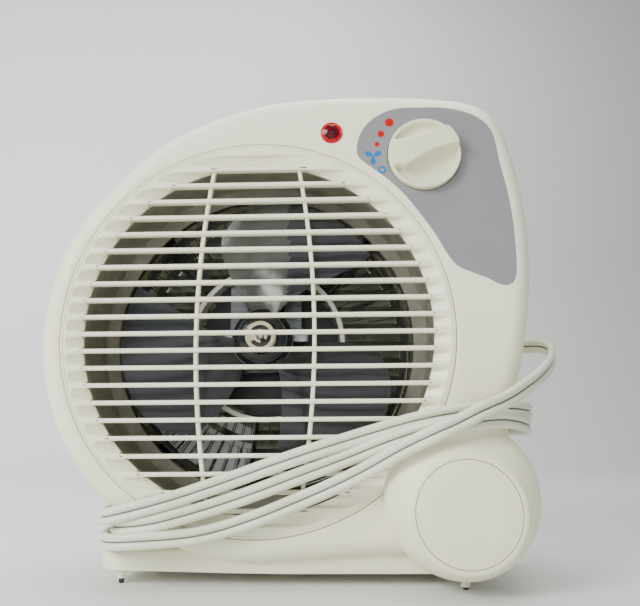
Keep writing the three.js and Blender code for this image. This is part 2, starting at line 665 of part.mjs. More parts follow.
function cordTube() {
  const { width, thick, steps, sides } = CORD;
  const section = new THREE.Shape();
  for (let i = 0; i < sides; i += 1) {
    const angle = (2 * Math.PI * (i + 0.5)) / sides;
    const reach = 1 / Math.cos(Math.PI / sides);
    const point = [(thick / 2) * reach * Math.cos(angle), (width / 2) * reach * Math.sin(angle)];
    if (i === 0) section.moveTo(...point);
    else section.lineTo(...point);
  }
  const path = new FlatCordPath(ROUTE, false, 'centripetal');
  return new THREE.ExtrudeGeometry(section, { steps, extrudePath: path, bevelEnabled: false });
}

// A boss on the back wall, with a tapered sleeve that the cord comes out of sideways.
function strainRelief() {
  const { x, y, z } = ROUTE[0];
  const { length, root, tip, flat, foot } = SLEEVE;
  const sleeve = new THREE.CylinderGeometry(root / 2, tip / 2, length, 12).rotateZ(-Math.PI / 2);
  sleeve.scale(1, flat, 1).translate(x + GAP + length / 2, y, z);
  const end = x + length;
  return join(sleeve, box(end - 2, BODY_DEPTH + GAP, z - foot, end + 10, y + 5, z + foot));
}

// The plug lies flat on the floor, its two blades pointing away from the cord.
function plugBody() {
  const { x, y } = ROUTE.at(-1);
  const { length, wide, nose, tall } = PLUG;
  const side = new THREE.Shape();
  side.moveTo(x - GAP, -nose);
  side.lineTo(x - GAP, nose);
  side.lineTo(x - length * 0.45, wide);
  side.lineTo(x - length, wide);
  side.lineTo(x - length, -wide);
  side.lineTo(x - length * 0.45, -wide);
  const slabOfPlug = new THREE.ExtrudeGeometry(side, { depth: tall, bevelEnabled: false });
  return slabOfPlug.translate(0, y, FLOOR + PLUG.lift);
}

function plugBlade(side) {
  const { x, y } = ROUTE.at(-1);
  const { length, blade, spread, tall, bladeThick, bladeTall } = PLUG;
  const near = y + side * spread - bladeThick / 2;
  const start = x - length - GAP;
  const low = FLOOR + PLUG.lift + (tall - bladeTall) / 2;
  return box(start - blade, near, low, start, near + bladeThick, low + bladeTall);
}

// ---- the pieces ---------------------------------------------------------------------------------
add('front_housing', frontHousing(), CREAM);
add('rear_housing', rearHousing(), CREAM);
add('front_grille', frontGrille(), CREAM);
add('rear_grille', rearGrille(), CREAM);
add('control_panel', controlPanel(), GREY);
add('selector_knob', selectorKnob(), CREAM);
add('switch_shaft', rod(KNOB.x, KNOB.z, SWITCH.shaft, KNOB.hole + GAP, SWITCH.front + 9, 12), BRASS);
add('rotary_switch', rotarySwitch(), BLACK);
add('lamp_lens', lampLens(), RED);
add('neon_lamp', rod(LAMP.x, LAMP.z, 3.4, 5.3, 17, 12), MICA);
add('fan_duct', fanDuct(), DUCT_GREY);
add('fan', smokeFan(), SMOKE);
add('fan_nut', fanNut(), CREAM);
add('motor_shaft', rod(0, 0, SHAFT_R, FAN.front - 2.5, BRACKET.rearBack + 1.2, 12), STEEL);
add('motor_rotor', cut(
  rod(0, 0, MOTOR.bore - GAP, MOTOR.front + 1, MOTOR.back - 1, 20),
  rod(0, 0, SHAFT_R + GAP, MOTOR.front, MOTOR.back, 12),
), STEEL);
add('motor_stator', motorStator(), STEEL);
add('motor_coil', motorCoil(), COPPER);
add('front_bearing_bracket', bearingBracket(BRACKET.front, BRACKET.frontBack), STEEL);
add('rear_bearing_bracket', bearingBracket(BRACKET.rear, BRACKET.rearBack), STEEL);
add('front_bush', bush(BRACKET.front, BRACKET.frontBack), BRASS);
add('rear_bush', bush(BRACKET.rear, BRACKET.rearBack), BRASS);
for (const side of [-1, 1]) {
  const screw = rod(side * MOTOR_SCREW.x, 0, MOTOR_SCREW.r, BRACKET.front - 0.5, MOTOR_SCREW.back, 8);
  add(side < 0 ? 'motor_screw_left' : 'motor_screw_right', screw, STEEL);
}
add('motor_mount', motorMount(), STEEL);
add('mica_frame', micaFrame(), MICA);
for (const [name, radii] of Object.entries(WIRES)) add(name, band(radii, ...WIRE_Y), WIRE);
add('thermal_cutout', rod(46, 46, 8, 69, 74, 16), BLACK);
add('thermal_fuse', rod(-46, 46, 2, 69, 80, 8), STEEL);
add('terminal_block', box(106, 54, -12, 122, 68, 14), BLACK);
add('base', base(), CREAM);
add('base_cover', baseCover(), CREAM);
add('drum', drum(), CREAM);
add('drum_cap', drumCap(), CREAM);
for (const [name, place] of Object.entries(FEET)) add(name, rubberFoot(place), RUBBER);
add('tip_plunger', tipPlunger(), BLACK);
add('tip_switch', tipSwitch(), BLACK);
SCREWS.forEach(([x, z], i) => {
  const { shank, head, headY, tip } = SCREW;
  const screw = join(rod(x, z, shank, tip, headY + 1, 8), rod(x, z, head, headY + GAP, headY + 3, 10));
  add(`housing_screw_${i + 1}`, screw, STEEL);
});
add('strain_relief', strainRelief(), CORD_GREY);
add('cord', cordTube(), CORD_GREY);
add('plug', plugBody(), CORD_GREY);
add('plug_blade_left', plugBlade(-1), BRASS);
add('plug_blade_right', plugBlade(1), BRASS);

// ---- the whole object ---------------------------------------------------------------------------
const heater = new THREE.Group();
heater.position.copy(ORIGIN);
for (const mesh of parts) heater.add(mesh);

export default heater;
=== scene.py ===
# %% [markdown]
# # A fan heater with a wound flat cord
# The imported model gives the frame: where each piece is, what it rides on and how big it is.
# This lesson builds the surfaces that the eye sees on top of it. All shapes are drawn in
# millimetres about the grille's centre, on the front plane, and moved to the frame's metres
# by one function. The camera and the cord come first.
import math

import bmesh
import bpy
from mathutils import Matrix, Vector
from mathutils.geometry import delaunay_2d_cdt


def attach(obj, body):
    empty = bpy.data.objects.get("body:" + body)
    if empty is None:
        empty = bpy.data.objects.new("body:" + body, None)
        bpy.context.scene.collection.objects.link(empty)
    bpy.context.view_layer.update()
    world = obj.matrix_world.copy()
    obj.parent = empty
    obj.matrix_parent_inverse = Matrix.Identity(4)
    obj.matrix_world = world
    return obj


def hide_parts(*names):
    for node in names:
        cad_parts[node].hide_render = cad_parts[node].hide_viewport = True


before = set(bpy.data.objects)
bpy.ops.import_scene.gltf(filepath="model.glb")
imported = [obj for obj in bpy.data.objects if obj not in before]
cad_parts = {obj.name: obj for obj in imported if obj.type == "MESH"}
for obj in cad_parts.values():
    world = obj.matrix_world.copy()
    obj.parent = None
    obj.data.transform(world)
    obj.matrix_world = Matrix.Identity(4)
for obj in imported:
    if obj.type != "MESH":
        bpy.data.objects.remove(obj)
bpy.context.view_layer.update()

# %% [markdown]
# ## Places and colours
# One point of the drawing is the grille's centre. Colours are written as they look on screen,
# and turned into the linear values that the shaders work with.

# %% From millimetres to the frame
CENTRE = Vector((-14.84, -41.25, 129.0))


def at(x, y, z):
    """A drawn point, in millimetres about the grille's centre, as metres in the frame."""
    return (Vector((x, y, z)) + CENTRE) / 1000


def linear(hex_colour):
    """An on-screen colour such as '#e9e6df' as linear red, green, blue and alpha."""
    values = [int(hex_colour[i:i + 2], 16) / 255 for i in (1, 3, 5)]
    curve = [v / 12.92 if v <= 0.04045 else ((v + 0.055) / 1.055) ** 2.4 for v in values]
    return (*curve, 1.0)


print("The grille's centre is at", [round(v, 4) for v in at(0, 0, 0)])

# %% [markdown]
# ## Materials
# Every material is a principled shader with its own small network: a slow noise that varies the
# colour, a fine noise that varies the roughness, and a bump. A pattern's size is given in
# millimetres, and the object coordinates are metres, so the scale is 1000 over that size.

# %% Nodes and their inputs
def wire(node, **values):
    """Sets inputs by name: another node's output is linked, and anything else is a value."""
    for name, value in values.items():
        socket = node.inputs[name.replace("_", " ")]
        if isinstance(value, bpy.types.NodeSocket):
            node.id_data.links.new(value, socket)
        else:
            socket.default_value = value


def add_node(near, kind, **values):
    """A new node in the tree that the socket near belongs to."""
    made = near.id_data.nodes.new(kind)
    wire(made, **values)
    return made


def new_material(name):
    material = bpy.data.materials.new(name)
    material.use_nodes = True
    tree = material.node_tree
    place = tree.nodes.new("ShaderNodeTexCoord").outputs["Object"]
    return material, tree.nodes["Principled BSDF"], place


def noise(place, size_mm, detail):
    made = add_node(place, "ShaderNodeTexNoise", Vector=place, Scale=1000 / size_mm, Detail=detail)
    return made.outputs["Fac"]


def blend(factor, light, dark):
    """A colour that runs from light to dark as factor grows."""
    mix = add_node(factor, "ShaderNodeMix")
    mix.data_type = "RGBA"
    mix.id_data.links.new(factor, mix.inputs[0])
    mix.inputs[6].default_value = linear(light)
    mix.inputs[7].default_value = linear(dark)
    return mix.outputs[2]


def stretch(factor, low=0, high=1):
    """A factor mapped from 0.3-0.7, where noise mostly lies, to low-high."""
    return add_node(factor, "ShaderNodeMapRange", Value=factor, From_Min=0.3, From_Max=0.7,
                    To_Min=low, To_Max=high).outputs["Result"]


def bump(shader, height, depth_mm):
    made = add_node(height, "ShaderNodeBump", Height=height, Distance=depth_mm / 1000, Strength=1.0)
    wire(shader, Normal=made.outputs["Normal"])


# %% Plastics and metals
def surface(name, light, dark, patch, rough, grain, **inputs):
    """A material with noise of a size and a detail in its colour (patch) and its bump (grain)."""
    material, shader, place = new_material(name)
    wire(shader, Base_Color=blend(stretch(noise(place, *patch)), light, dark), **inputs)
    if isinstance(rough, tuple):
        size_mm, detail, low, high = rough
        rough = stretch(noise(place, size_mm, detail), low, high)
    wire(shader, Roughness=rough)
    size_mm, detail, depth_mm = grain
    bump(shader, noise(place, size_mm, detail), depth_mm)
    return material


def moulded_plastic(name, light, dark, roughness, grain_mm, grain_depth_mm, patch_mm=60):
    """Injection-moulded plastic: a spark-eroded grain, and a colour that wanders a little."""
    rough = (9, 3, roughness - 0.05, roughness + 0.07)
    return surface(name, light, dark, (patch_mm, 4), rough, (grain_mm, 2, grain_depth_mm), IOR=1.53)


def drawn_metal(name, light, dark, roughness, streak_mm):
    """Sheet or bar metal with fine streaks along X left by rolling."""
    material, shader, place = new_material(name)
    squeeze = add_node(place, "ShaderNodeMapping", Vector=place, Scale=(0.08, 1, 1)).outputs["Vector"]
    streaks = noise(squeeze, streak_mm, 3)
    rough = stretch(streaks, roughness - 0.06, roughness + 0.1)
    colour = blend(stretch(streaks), light, dark)
    wire(shader, Base_Color=colour, Metallic=1.0, Roughness=rough)
    bump(shader, streaks, 0.02)
    return material


shell_abs = moulded_plastic("cream-white ABS, spark-eroded grain", "#f5f4da", "#eeedd0", 0.46, 0.7, 0.012)
grille_abs = moulded_plastic("cream-white ABS, polished mould", "#f5f4dc", "#eeedd2", 0.4, 1.2, 0.008)
knob_abs = moulded_plastic("cream ABS, polished mould", "#e8e8c8", "#dfdfbc", 0.3, 1.5, 0.006)
black_abs = moulded_plastic("black ABS", "#242527", "#1a1b1d", 0.42, 0.8, 0.012)
# Painted shade for the intake's sides that face the fan, inside the body.
fan_side_shade_abs = moulded_plastic("ABS, painted shade on the side facing the fan", "#80857b", "#62675e", 0.8, 1.5, 0.06, 15)
nut_nylon = moulded_plastic("cream nylon", "#e6dcc2", "#d8ccb0", 0.42, 1.0, 0.01)
foot_rubber = moulded_plastic("dark moulded rubber", "#3a3836", "#2b2a29", 0.75, 0.6, 0.03)
# Painted shade for the groove between the cord's two cores.
groove_shade_vinyl = moulded_plastic("extruded vinyl, painted groove shade", "#85867e", "#74756d", 0.6, 1.0, 0.01)
# Painted highlight for the hub's step edges.
highlight_smoke = moulded_plastic("smoked polystyrene, painted highlight", "#9aa1a6", "#7d848a", 0.2, 6, 0.02)
thick_smoke = moulded_plastic("smoked polystyrene, thick and dark", "#2b2f31", "#1d2022", 0.16, 6, 0.02)
mica_board = moulded_plastic("pressed mica board", "#dcdcdf", "#c4c3c6", 0.62, 2.5, 0.06, 12)
# Painted light and painted shade: brighter and near-black copies of the mica board's colour.
lit_mica = moulded_plastic("pressed mica board, painted light", "#fbfaf0", "#eeecdf", 0.6, 1.5, 0.03, 12)
shaded_mica = moulded_plastic("pressed mica board, painted shade", "#3f3e3a", "#2c2b28", 0.6, 2.5, 0.06, 12)
# Partly painted shade: a black finish for the motor's mounting plate, which also stands in for the shade
# around the motor.
black_enamel_shade = moulded_plastic("black baked enamel, painted shade", "#2c2d2e", "#1f2021", 0.4, 2.0, 0.03)
panel_ink = moulded_plastic("grey screen-printed overlay", "#858588", "#7e7e80", 0.5, 0.5, 0.008)
red_ink = moulded_plastic("red screen-print ink", "#c80000", "#bc0000", 0.75, 0.6, 0.006)
blue_ink = moulded_plastic("blue screen-print ink", "#0074bd", "#006bb0", 0.75, 0.6, 0.006)
for ink in (red_ink, blue_ink):
    wire(ink.node_tree.nodes["Principled BSDF"], Specular_IOR_Level=0.1)
plated_steel = drawn_metal("zinc-plated steel", "#b9bcc0", "#9fa2a6", 0.32, 1.2)
lamination_steel = drawn_metal("stacked lamination steel", "#7f8286", "#606368", 0.45, 0.5)
nichrome = drawn_metal("oxidised nichrome wire", "#8d8781", "#5d5853", 0.38, 0.8)
turned_brass = drawn_metal("turned brass", "#d3b268", "#b7954a", 0.26, 0.7)
print(len(bpy.data.materials), "materials so far")

# %% Materials with something more
def smoked_polystyrene(name, light, dark, cover):
    """Fan plastic, tinted and half clear: what is behind shows darkly through it."""
    return surface(name, light, dark, (35, 3), 0.2, (9, 1, 0.12), IOR=1.59, Alpha=cover)


def lamp_acrylic(name, light, dark):
    """Clear red acrylic over a neon lamp."""
    return surface(name, light, dark, (3.2, 1), 0.14, (3.2, 1, 0.25), IOR=1.49, Specular_IOR_Level=0.25)


def cord_vinyl():
    """Pale grey heater cord: fine ribs across it, and a dull sheen."""
    material, shader, place = new_material("pale grey extruded vinyl")
    wave = add_node(place, "ShaderNodeTexWave", Vector=place, Scale=1000 / 12, Distortion=1.5, Detail=2.0)
    colour = blend(stretch(noise(place, 25, 4)), "#e6e7d4", "#d8d9c6")
    wire(shader, Base_Color=colour, Roughness=stretch(noise(place, 6, 3), 0.34, 0.46))
    bump(shader, wave.outputs["Fac"], 0.03)
    return material


def enamelled_copper():
    """A motor coil: copper wire laid side by side under brown enamel."""
    material, shader, place = new_material("enamelled copper winding")
    wave = add_node(place, "ShaderNodeTexWave", Vector=place, Scale=1000 / 8, Distortion=0.4, Detail=1.0)
    turns = wave.outputs["Fac"]
    wire(shader, Base_Color=blend(turns, "#5e3218", "#331a0d"), Metallic=0.7, Roughness=0.32)
    bump(shader, turns, 0.3)
    return material


def lamp_glass():
    material, shader, place = new_material("clear lamp glass")
    rough = stretch(noise(place, 5, 2), 0.03, 0.1)
    wire(shader, Base_Color=linear("#f4efe6"), Roughness=rough, IOR=1.47, Transmission_Weight=0.9)
    return material


duct_metal = surface("coated sheet steel", "#9c988a", "#807c70", (14, 5), 0.48, (1.6, 3, 0.03))
smoke = smoked_polystyrene("smoked polystyrene", "#2d3236", "#1a1e23", 0.87)
# Painted light: a paler copy of the fan smoke, for the top blade where it faces the light.
lit_smoke = smoked_polystyrene("smoked polystyrene, painted light", "#5f6159", "#3e413e", 0.92)
# Painted light and shade on the lens: the core over the unlit lamp is painted dark, and the edge is painted
# bright red, as light falls through it.
shaded_lens = lamp_acrylic("red acrylic, painted shade over the lamp", "#6a0a1c", "#22030a")
lit_lens = lamp_acrylic("red acrylic, painted light at the edge", "#d40816", "#a00610")
vinyl = cord_vinyl()
copper = enamelled_copper()
bulb_glass = lamp_glass()
print(len(bpy.data.materials), "materials in all")

# %% [markdown]
# ## Shapes
# A shape is a list of points and a list of faces. Most are lofts: rings of points joined side by
# side. One function makes a loft, one turns a profile round an axis that runs front to back, and
# one puts a shape in the scene, on its body, in place of its CAD pieces.

# %% Lofts, turned shapes and plates
def loft(rings, capped=True, around=True):
    """Rings of points joined side by side. Around closes each ring, and capped closes both ends."""
    count = len(rings[0])
    points = [point for ring in rings for point in ring]
    faces = []
    for i in range(len(rings) - 1):
        for j in range(count if around else count - 1):
            k = (j + 1) % count
            faces.append((i * count + j, i * count + k, (i + 1) * count + k, (i + 1) * count + j))
    if capped:
        faces.append(tuple(range(count)))
        faces.append(tuple(range(len(points) - count, len(points))))
    return points, faces


def circle(r, y, x=0.0, z=0.0, sides=96):
    steps = [2 * math.pi * i / sides for i in range(sides)]
    return [(x + r * math.cos(a), y, z + r * math.sin(a)) for a in steps]


def sweep(x, z, r, start, end, count):
    """Points on an arc from start to end, in degrees, with count steps between them."""
    angles = [math.radians(start + (end - start) * i / count) for i in range(count + 1)]
    return [(x + r * math.cos(a), z + r * math.sin(a)) for a in angles]


def quarter(steps, r):
    """(inset, depth) pairs for a rounded edge, from the face to the side."""
    turns = [math.pi / 2 * i / steps for i in range(steps + 1)]
    return [(r * (1 - math.sin(t)), r * (1 - math.cos(t))) for t in turns]


def smooth(value):
    """0 below 0, 1 above 1, and an eased step between."""
    share = min(1.0, max(0.0, value))
    return share * share * (3 - 2 * share)


def turned(profile, x=0.0, z=0.0, sides=96, capped=True):
    """A profile of (radius, depth) turned round an axis along Y."""
    return loft([circle(r, y, x, z, sides) for r, y in profile], capped)


def post(profile, x, y, sides=24):
    """A profile of (radius, height) turned round an upright axis."""
    return loft([[(px, py, z) for px, _, py in circle(r, 0, x, y, sides)] for r, z in profile])


def block(low, high, edge):
    """A box between two corners with its edges rounded off by edge."""
    (x0, y0, z0), (x1, y1, z1) = low, high

    def ring(y, inset):
        corners = [(x1 - edge, z1 - edge, 0), (x0 + edge, z1 - edge, 90),
                   (x0 + edge, z0 + edge, 180), (x1 - edge, z0 + edge, 270)]
        made = []
        for x, z, start in corners:
            made += [(px, y, pz) for px, pz in sweep(x, z, edge - inset, start, start + 90, 4)]
        return made

    rounding = [(0.98 * inset, depth) for inset, depth in quarter(3, edge)]
    front = [ring(y0 + depth, inset) for inset, depth in rounding]
    back = [ring(y1 - depth, inset) for inset, depth in reversed(rounding)]
    return loft(front + back)


def offset(outline, amount):
    """The outline moved inward by amount, along its own normals. It runs anticlockwise."""
    count = len(outline)
    moved = []
    for i, (x, z) in enumerate(outline):
        (bx, bz), (nx, nz) = outline[i - 1], outline[(i + 1) % count]
        along = Vector((nx - bx, nz - bz)).normalized()
        moved.append((x - along.y * amount, z + along.x * amount))
    return moved


def merged(shapes):
    """Several shapes as one."""
    points, faces = [], []
    for more_points, more_faces in shapes:
        start = len(points)
        points += more_points
        faces += [tuple(start + i for i in face) for face in more_faces]
    return points, faces


# %% Putting a shape in the scene
def place_piece(name, shape, material, node="", body="root", sharp=38):
    """A new object on a body. It can stand for a CAD node, which it hides."""
    points, faces = shape
    mesh = bpy.data.meshes.new(name)
    mesh.from_pydata([at(*point) for point in points], [], faces)
    mesh.materials.append(material)
    tidy = bmesh.new()
    tidy.from_mesh(mesh)
    bmesh.ops.remove_doubles(tidy, verts=tidy.verts, dist=1e-6)
    bmesh.ops.recalc_face_normals(tidy, faces=tidy.faces)
    tidy.to_mesh(mesh)
    tidy.free()
    mesh.shade_smooth()
    mesh.set_sharp_from_angle(angle=math.radians(sharp))
    piece = bpy.data.objects.new(name, mesh)
    bpy.context.scene.collection.objects.link(piece)
    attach(piece, body)
    if node:
        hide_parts(node)
    return piece


def add_material(piece, material, chosen):
    """One more material, on the faces whose middle point, in drawn millimetres, is chosen."""
    piece.data.materials.append(material)
    for polygon in piece.data.polygons:
        if chosen(*(polygon.center * 1000 - CENTRE)):
            polygon.material_index = len(piece.data.materials) - 1


def paint(node, material):
    """A new material on a CAD piece that keeps its own shape."""
    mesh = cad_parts[node].data
    mesh.materials.clear()
    mesh.materials.append(material)


print("Tools ready")

# %% [markdown]
# ## Camera, floor and light
# The camera stands low and to the right of the middle, looking slightly up. A pale sheet curves
# from floor to wall behind the heater, and three soft lamps light it from above.

# %% The camera
CAMERA_PLACE = (43.91, -356.29, -49.61)
YAW, PITCH, ROLL = math.radians(1.676), math.radians(10.30), math.radians(-0.379)
camera_data = bpy.data.cameras.new("camera")
camera_data.lens = 38.4
camera_data.sensor_width = 36
camera_data.clip_start = 0.01
camera = bpy.data.objects.new("camera", camera_data)
bpy.context.scene.collection.objects.link(camera)
bpy.context.scene.camera = camera
forward = Vector((-math.sin(YAW) * math.cos(PITCH), math.cos(YAW) * math.cos(PITCH), math.sin(PITCH)))
level = Vector((math.cos(YAW), math.sin(YAW), 0))
upward = level.cross(forward)
side = level * math.cos(ROLL) + upward * math.sin(ROLL)
top = upward * math.cos(ROLL) - level * math.sin(ROLL)
turn = Matrix((side, top, -forward)).transposed()
camera.matrix_world = Matrix.Translation(at(*CAMERA_PLACE)) @ turn.to_4x4()
print("Camera at", [round(v, 4) for v in camera.location])

# %% The floor and its curved backdrop
def backdrop():
    """A floor that bends up into a wall, its colour painted darker to the right as painted shade."""
    material, shader, place = new_material("pale painted sheet")
    across = add_node(place, "ShaderNodeSeparateXYZ", Vector=place).outputs["X"]
    # Painted shade: the colour runs from near white on the left to grey on the right.
    shade_ramp = add_node(across, "ShaderNodeMapRange", Value=across, From_Min=-0.9, From_Max=0.9)
    wire(shader, Base_Color=blend(shade_ramp.outputs["Result"], "#fafbfc", "#b4b4b2"), Roughness=0.45)
    bend, reach, near = 500.0, 900.0, -1800.0
    curve = [(reach + r, h) for r, h in ((bend - inset, depth) for inset, depth in quarter(24, bend))]
    profile = [(near, 0.0), *curve, (reach + bend, 2400.0)]
    rows = [[(x, y, z - 129.02) for x in (-3000.0, 3000.0)] for y, z in profile]
    points, faces = loft(rows, capped=False, around=False)
    mesh = bpy.data.meshes.new("floor")
    mesh.from_pydata([at(*p) for p in points], [], faces)
    mesh.materials.append(material)
    mesh.shade_smooth()
    floor = bpy.data.objects.new("floor", mesh)
    bpy.context.scene.collection.objects.link(floor)


def softbox(name, place, target, size, power):
    """A rectangular lamp, in metres and watts, that points at target."""
    data = bpy.data.lights.new(name, "AREA")
    data.shape = "RECTANGLE"
    data.size, data.size_y = size
    data.energy = power
    lamp = bpy.data.objects.new(name, data)
    bpy.context.scene.collection.objects.link(lamp)
    lamp.location = Vector(place)
    lamp.rotation_euler = (Vector(target) - Vector(place)).to_track_quat("-Z", "Y").to_euler()


backdrop()
softbox("left window light", (-1.3, -1.2, 1.0), (0, 0, 0.12), (0.9, 0.8), 50)
softbox("front fill", (0.1, -1.7, 0.5), (0, 0, 0.12), (1.6, 1.0), 6)
softbox("overhead light", (0.1, 0.2, 1.6), (0, 0.1, 0.1), (1.4, 1.0), 24)
world = bpy.data.worlds.new("room")
world.use_nodes = True
wire(world.node_tree.nodes["Background"], Color=linear("#f1f1ee"), Strength=0.48)
bpy.context.scene.world = world
print("Three lamps and a soft room light")

# %% [markdown]
# ## The cord
# A flat twin cord is two round cores side by side, so its section is an eight with a groove. It
# leaves its sleeve on the back, goes round the lower body and the neck twice and up the front, and
# runs down the back to its plug. The route is the one that the frame's solid follows.

# %% The route
ROUTE = [
    (14, 102.6, -100), (-6, 102.6, -100), (-28, 103, -100), (-46, 102.4, -100), (-61, 98, -100),
    (-72.8, 88, -100), (-77, 70, -100), (-77, 50, -100), (-77, 30, -100), (-75.2, 13, -99.6),
    (-67.4, -0.5, -98.6), (-51.8, -5.2, -96.6), (-27, -5, -90.4), (-2, -5, -82.5), (23, -5, -73.5),
    (48, -6, -64.5), (70, -12, -56), (90, -20, -50), (108, -19.4, -47.8), (123, -13, -46.6),
    (135.5, -1, -48.2), (143.1, 16, -50), (146, 36, -50.6), (146, 56, -51), (143.5, 75, -51.6),
    (136.4, 91, -52.2), (125, 100.4, -53.4), (108, 103, -56.6), (80, 103, -64), (50, 103, -72.4),
    (20, 103, -80.4), (-6, 104.5, -86.4), (-28, 107, -90.6), (-48, 107.6, -93.4), (-65.8, 102.6, -94.2),
    (-78.4, 90.8, -94.4), (-82.5, 72, -94.4), (-82.5, 50, -94.4), (-82.5, 29, -94.4), (-81, 12, -94.4),
    (-74.4, -2, -93.3), (-58.2, -6.2, -89.4), (-40, -5.6, -84.6), (-15, -5.4, -76.6), (10, -5.6, -68),
    (35, -6, -60), (60, -8, -52.6), (80, -12, -47), (98, -13, -43.6), (113, -10, -41.8),
    (126.8, -3.6, -40.9), (137.2, 6, -41.3), (145.1, 20, -41.8), (148.5, 38, -42), (148.5, 58, -42.4),
    (145.5, 78, -43), (138.1, 95, -44), (125.9, 105, -45.4), (108, 108.4, -49), (80, 108.4, -59.4),
    (50, 108.4, -70.6), (20, 108.4, -81.6), (-8, 108.6, -92), (-30, 109.6, -100), (-50, 109, -105.2),
    (-66.5, 103, -106.2), (-77.5, 90.6, -106.3), (-82.9, 72, -106.3), (-82.9, 50, -106.3),
    (-82.9, 29, -106.3), (-80.5, 12, -106.2), (-72.9, -1, -105.8), (-59.2, -5.6, -104.8), (-27, -5.6, -102),
    (-2, -6.2, -95), (23, -7.4, -85.4), (46, -11, -75.4), (60, -16.4, -68), (73, -22.4, -60.4),
    (87, -26, -53.6), (99, -26, -48.4), (112, -23.4, -42.2), (125, -16.4, -37), (139.1, -4.4, -29.5),
    (151, 10, -22.3), (160, 24, -14.9), (165.4, 40, -7.7), (165.8, 57, -2.9), (161, 75, -0.7),
    (151, 91, -0.3), (134.8, 102, -1.8), (116.3, 108.6, -6.1), (101, 113.4, -14), (89, 116, -27),
    (81, 116.6, -45), (76.6, 116.6, -66), (73, 116.6, -88), (68, 118, -106), (57, 121, -119),
    (41, 123, -124.3), (22, 123, -124.6),
]


def spaced_curve(points, step):
    """Points about step apart on the smooth curve through the given ones (centripetal Catmull-Rom)."""
    points = [Vector(p) for p in points]
    points = [points[0] * 2 - points[1], *points, points[-1] * 2 - points[-2]]
    made = []
    for a, b, c, d in zip(points, points[1:], points[2:], points[3:]):
        t = [0.0]
        for p, q in ((a, b), (b, c), (c, d)):
            t.append(t[-1] + math.sqrt((q - p).length))
        count = max(2, round((c - b).length / step))
        for i in range(count):
            s = t[1] + (t[2] - t[1]) * i / count
            ab = a.lerp(b, (s - t[0]) / (t[1] - t[0]))
            bc = b.lerp(c, (s - t[1]) / (t[2] - t[1]))
            cd = c.lerp(d, (s - t[2]) / (t[3] - t[2]))
            abc = ab.lerp(bc, (s - t[0]) / (t[2] - t[0]))
            bcd = bc.lerp(cd, (s - t[1]) / (t[3] - t[1]))
            made.append(abc.lerp(bcd, (s - t[1]) / (t[2] - t[1])))
    made.append(points[-2])
    return made


def cord_section():
    """The eight: each core is a circle, and the web between them is thin."""
    core, apart, web = 2.08, 2.17, 0.5
    right = sweep(apart, 0, core, -150, 150, 12)
    left = [(-x, -y) for x, y in right]
    return [*right, (0, web), *left, (0, -web)]


def flat_cord(path, section):
    """The section carried along the path, its wide side kept upright as the frame's solid has it."""
    last = Vector((0, -1, 0))
    rings = []
    for i, place in enumerate(path):
        ahead = (path[min(i + 1, len(path) - 1)] - path[max(i - 1, 0)]).normalized()
        flat = Vector((0, 0, 1)).cross(ahead)
        thin = flat if flat.length > 0.5 else last - ahead * last.dot(ahead)
        if thin.dot(last) < 0:
            thin = -thin
        thin.normalize()
        wide = ahead.cross(thin)
        last = thin
        rings.append([tuple(place + wide * u + thin * v) for u, v in section])
    return loft(rings)


CORD_PATH = spaced_curve(ROUTE, 3.0)
SECTION = cord_section()
cord = place_piece("cord_skin", flat_cord(CORD_PATH, SECTION), vinyl, "cord")
cord.data.materials.append(groove_shade_vinyl)

# %% The groove's shade, the plug and the sleeve
def shade_groove(piece, columns):
    """The faces in the groove between the two cores take the darker vinyl: painted shade in the crease."""
    count = len(columns)
    near = [i for i, (x, _) in enumerate(columns) if abs(x) < 0.5]
    for polygon in piece.data.polygons:
        if len(polygon.vertices) == 4 and all(v % count in near for v in polygon.vertices):
            polygon.material_index = 1


def plug_body():
    """A moulded plug lying flat: a waist, a grip with three ribs, and a square nose."""
    x, y, _ = ROUTE[-1]
    middle = -124.6
    profile = [(0.0, 5.2, 5.2), (3, 5.4, 5.4), (10, 6.8, 6.4), (16, 11.4, 8.2), (18, 12.2, 8.5),
               (20, 11.6, 8.3), (21.5, 12.2, 8.5), (23, 11.6, 8.3), (24.5, 12.2, 8.5), (26, 12.3, 8.6),
               (29.4, 12.3, 8.6), (30, 11.7, 8.0)]
    rings = []
    for along, half, tall in profile:
        ring = []
        for i in range(40):
            a = 2 * math.pi * i / 40
            u = math.copysign(abs(math.cos(a)) ** 0.5, math.cos(a))
            v = math.copysign(abs(math.sin(a)) ** 0.5, math.sin(a))
            ring.append((x - 0.3 - along, y + half * u, middle + tall / 2 * v))
        rings.append(ring)
    return loft(rings)


def sleeve():
    """A boss on the back wall, and a tapered sleeve with rings cut into it to let it bend."""
    x, y, z = ROUTE[0]
    profile = [(0, 4.7)]
    for i in range(6):
        start, r = 1.5 + 3.6 * i, 4.75 + 0.12 * i
        profile += [(start, r), (start + 2.0, r + 0.05)]
        profile += [(start + 2.1, r - 0.6), (start + 2.9, r - 0.55), (start + 3.0, r + 0.08)]
    profile += [(24, 5.5), (26, 5.5)]
    rings = []
    for along, r in profile:
        oval = [(0.66 * side, up) for up, side in sweep(0, 0, r, 0, 345, 23)]
        rings.append([(x + 0.3 + along, y + across, z + up) for across, up in oval])
    boss = block((x + 24.2, 96.3, z - 6), (x + 36, y + 5, z + 6), 1.4)
    return merged([loft(rings), boss])


shade_groove(cord, SECTION)
plug = place_piece("plug_skin", plug_body(), vinyl, "plug")
relief = place_piece("strain_relief_skin", sleeve(), vinyl, "strain_relief")
for blade in ("plug_blade_left", "plug_blade_right"):
    paint(blade, turned_brass)
print("Plug, sleeve and blades are on the cord")

# %% [markdown]
# ## The body's outline
# The front view is a circle on the left, a rounded corner at the upper right, a side that leans in
# to a neck, and a corner round the drum. Everything on the casing follows this one outline.

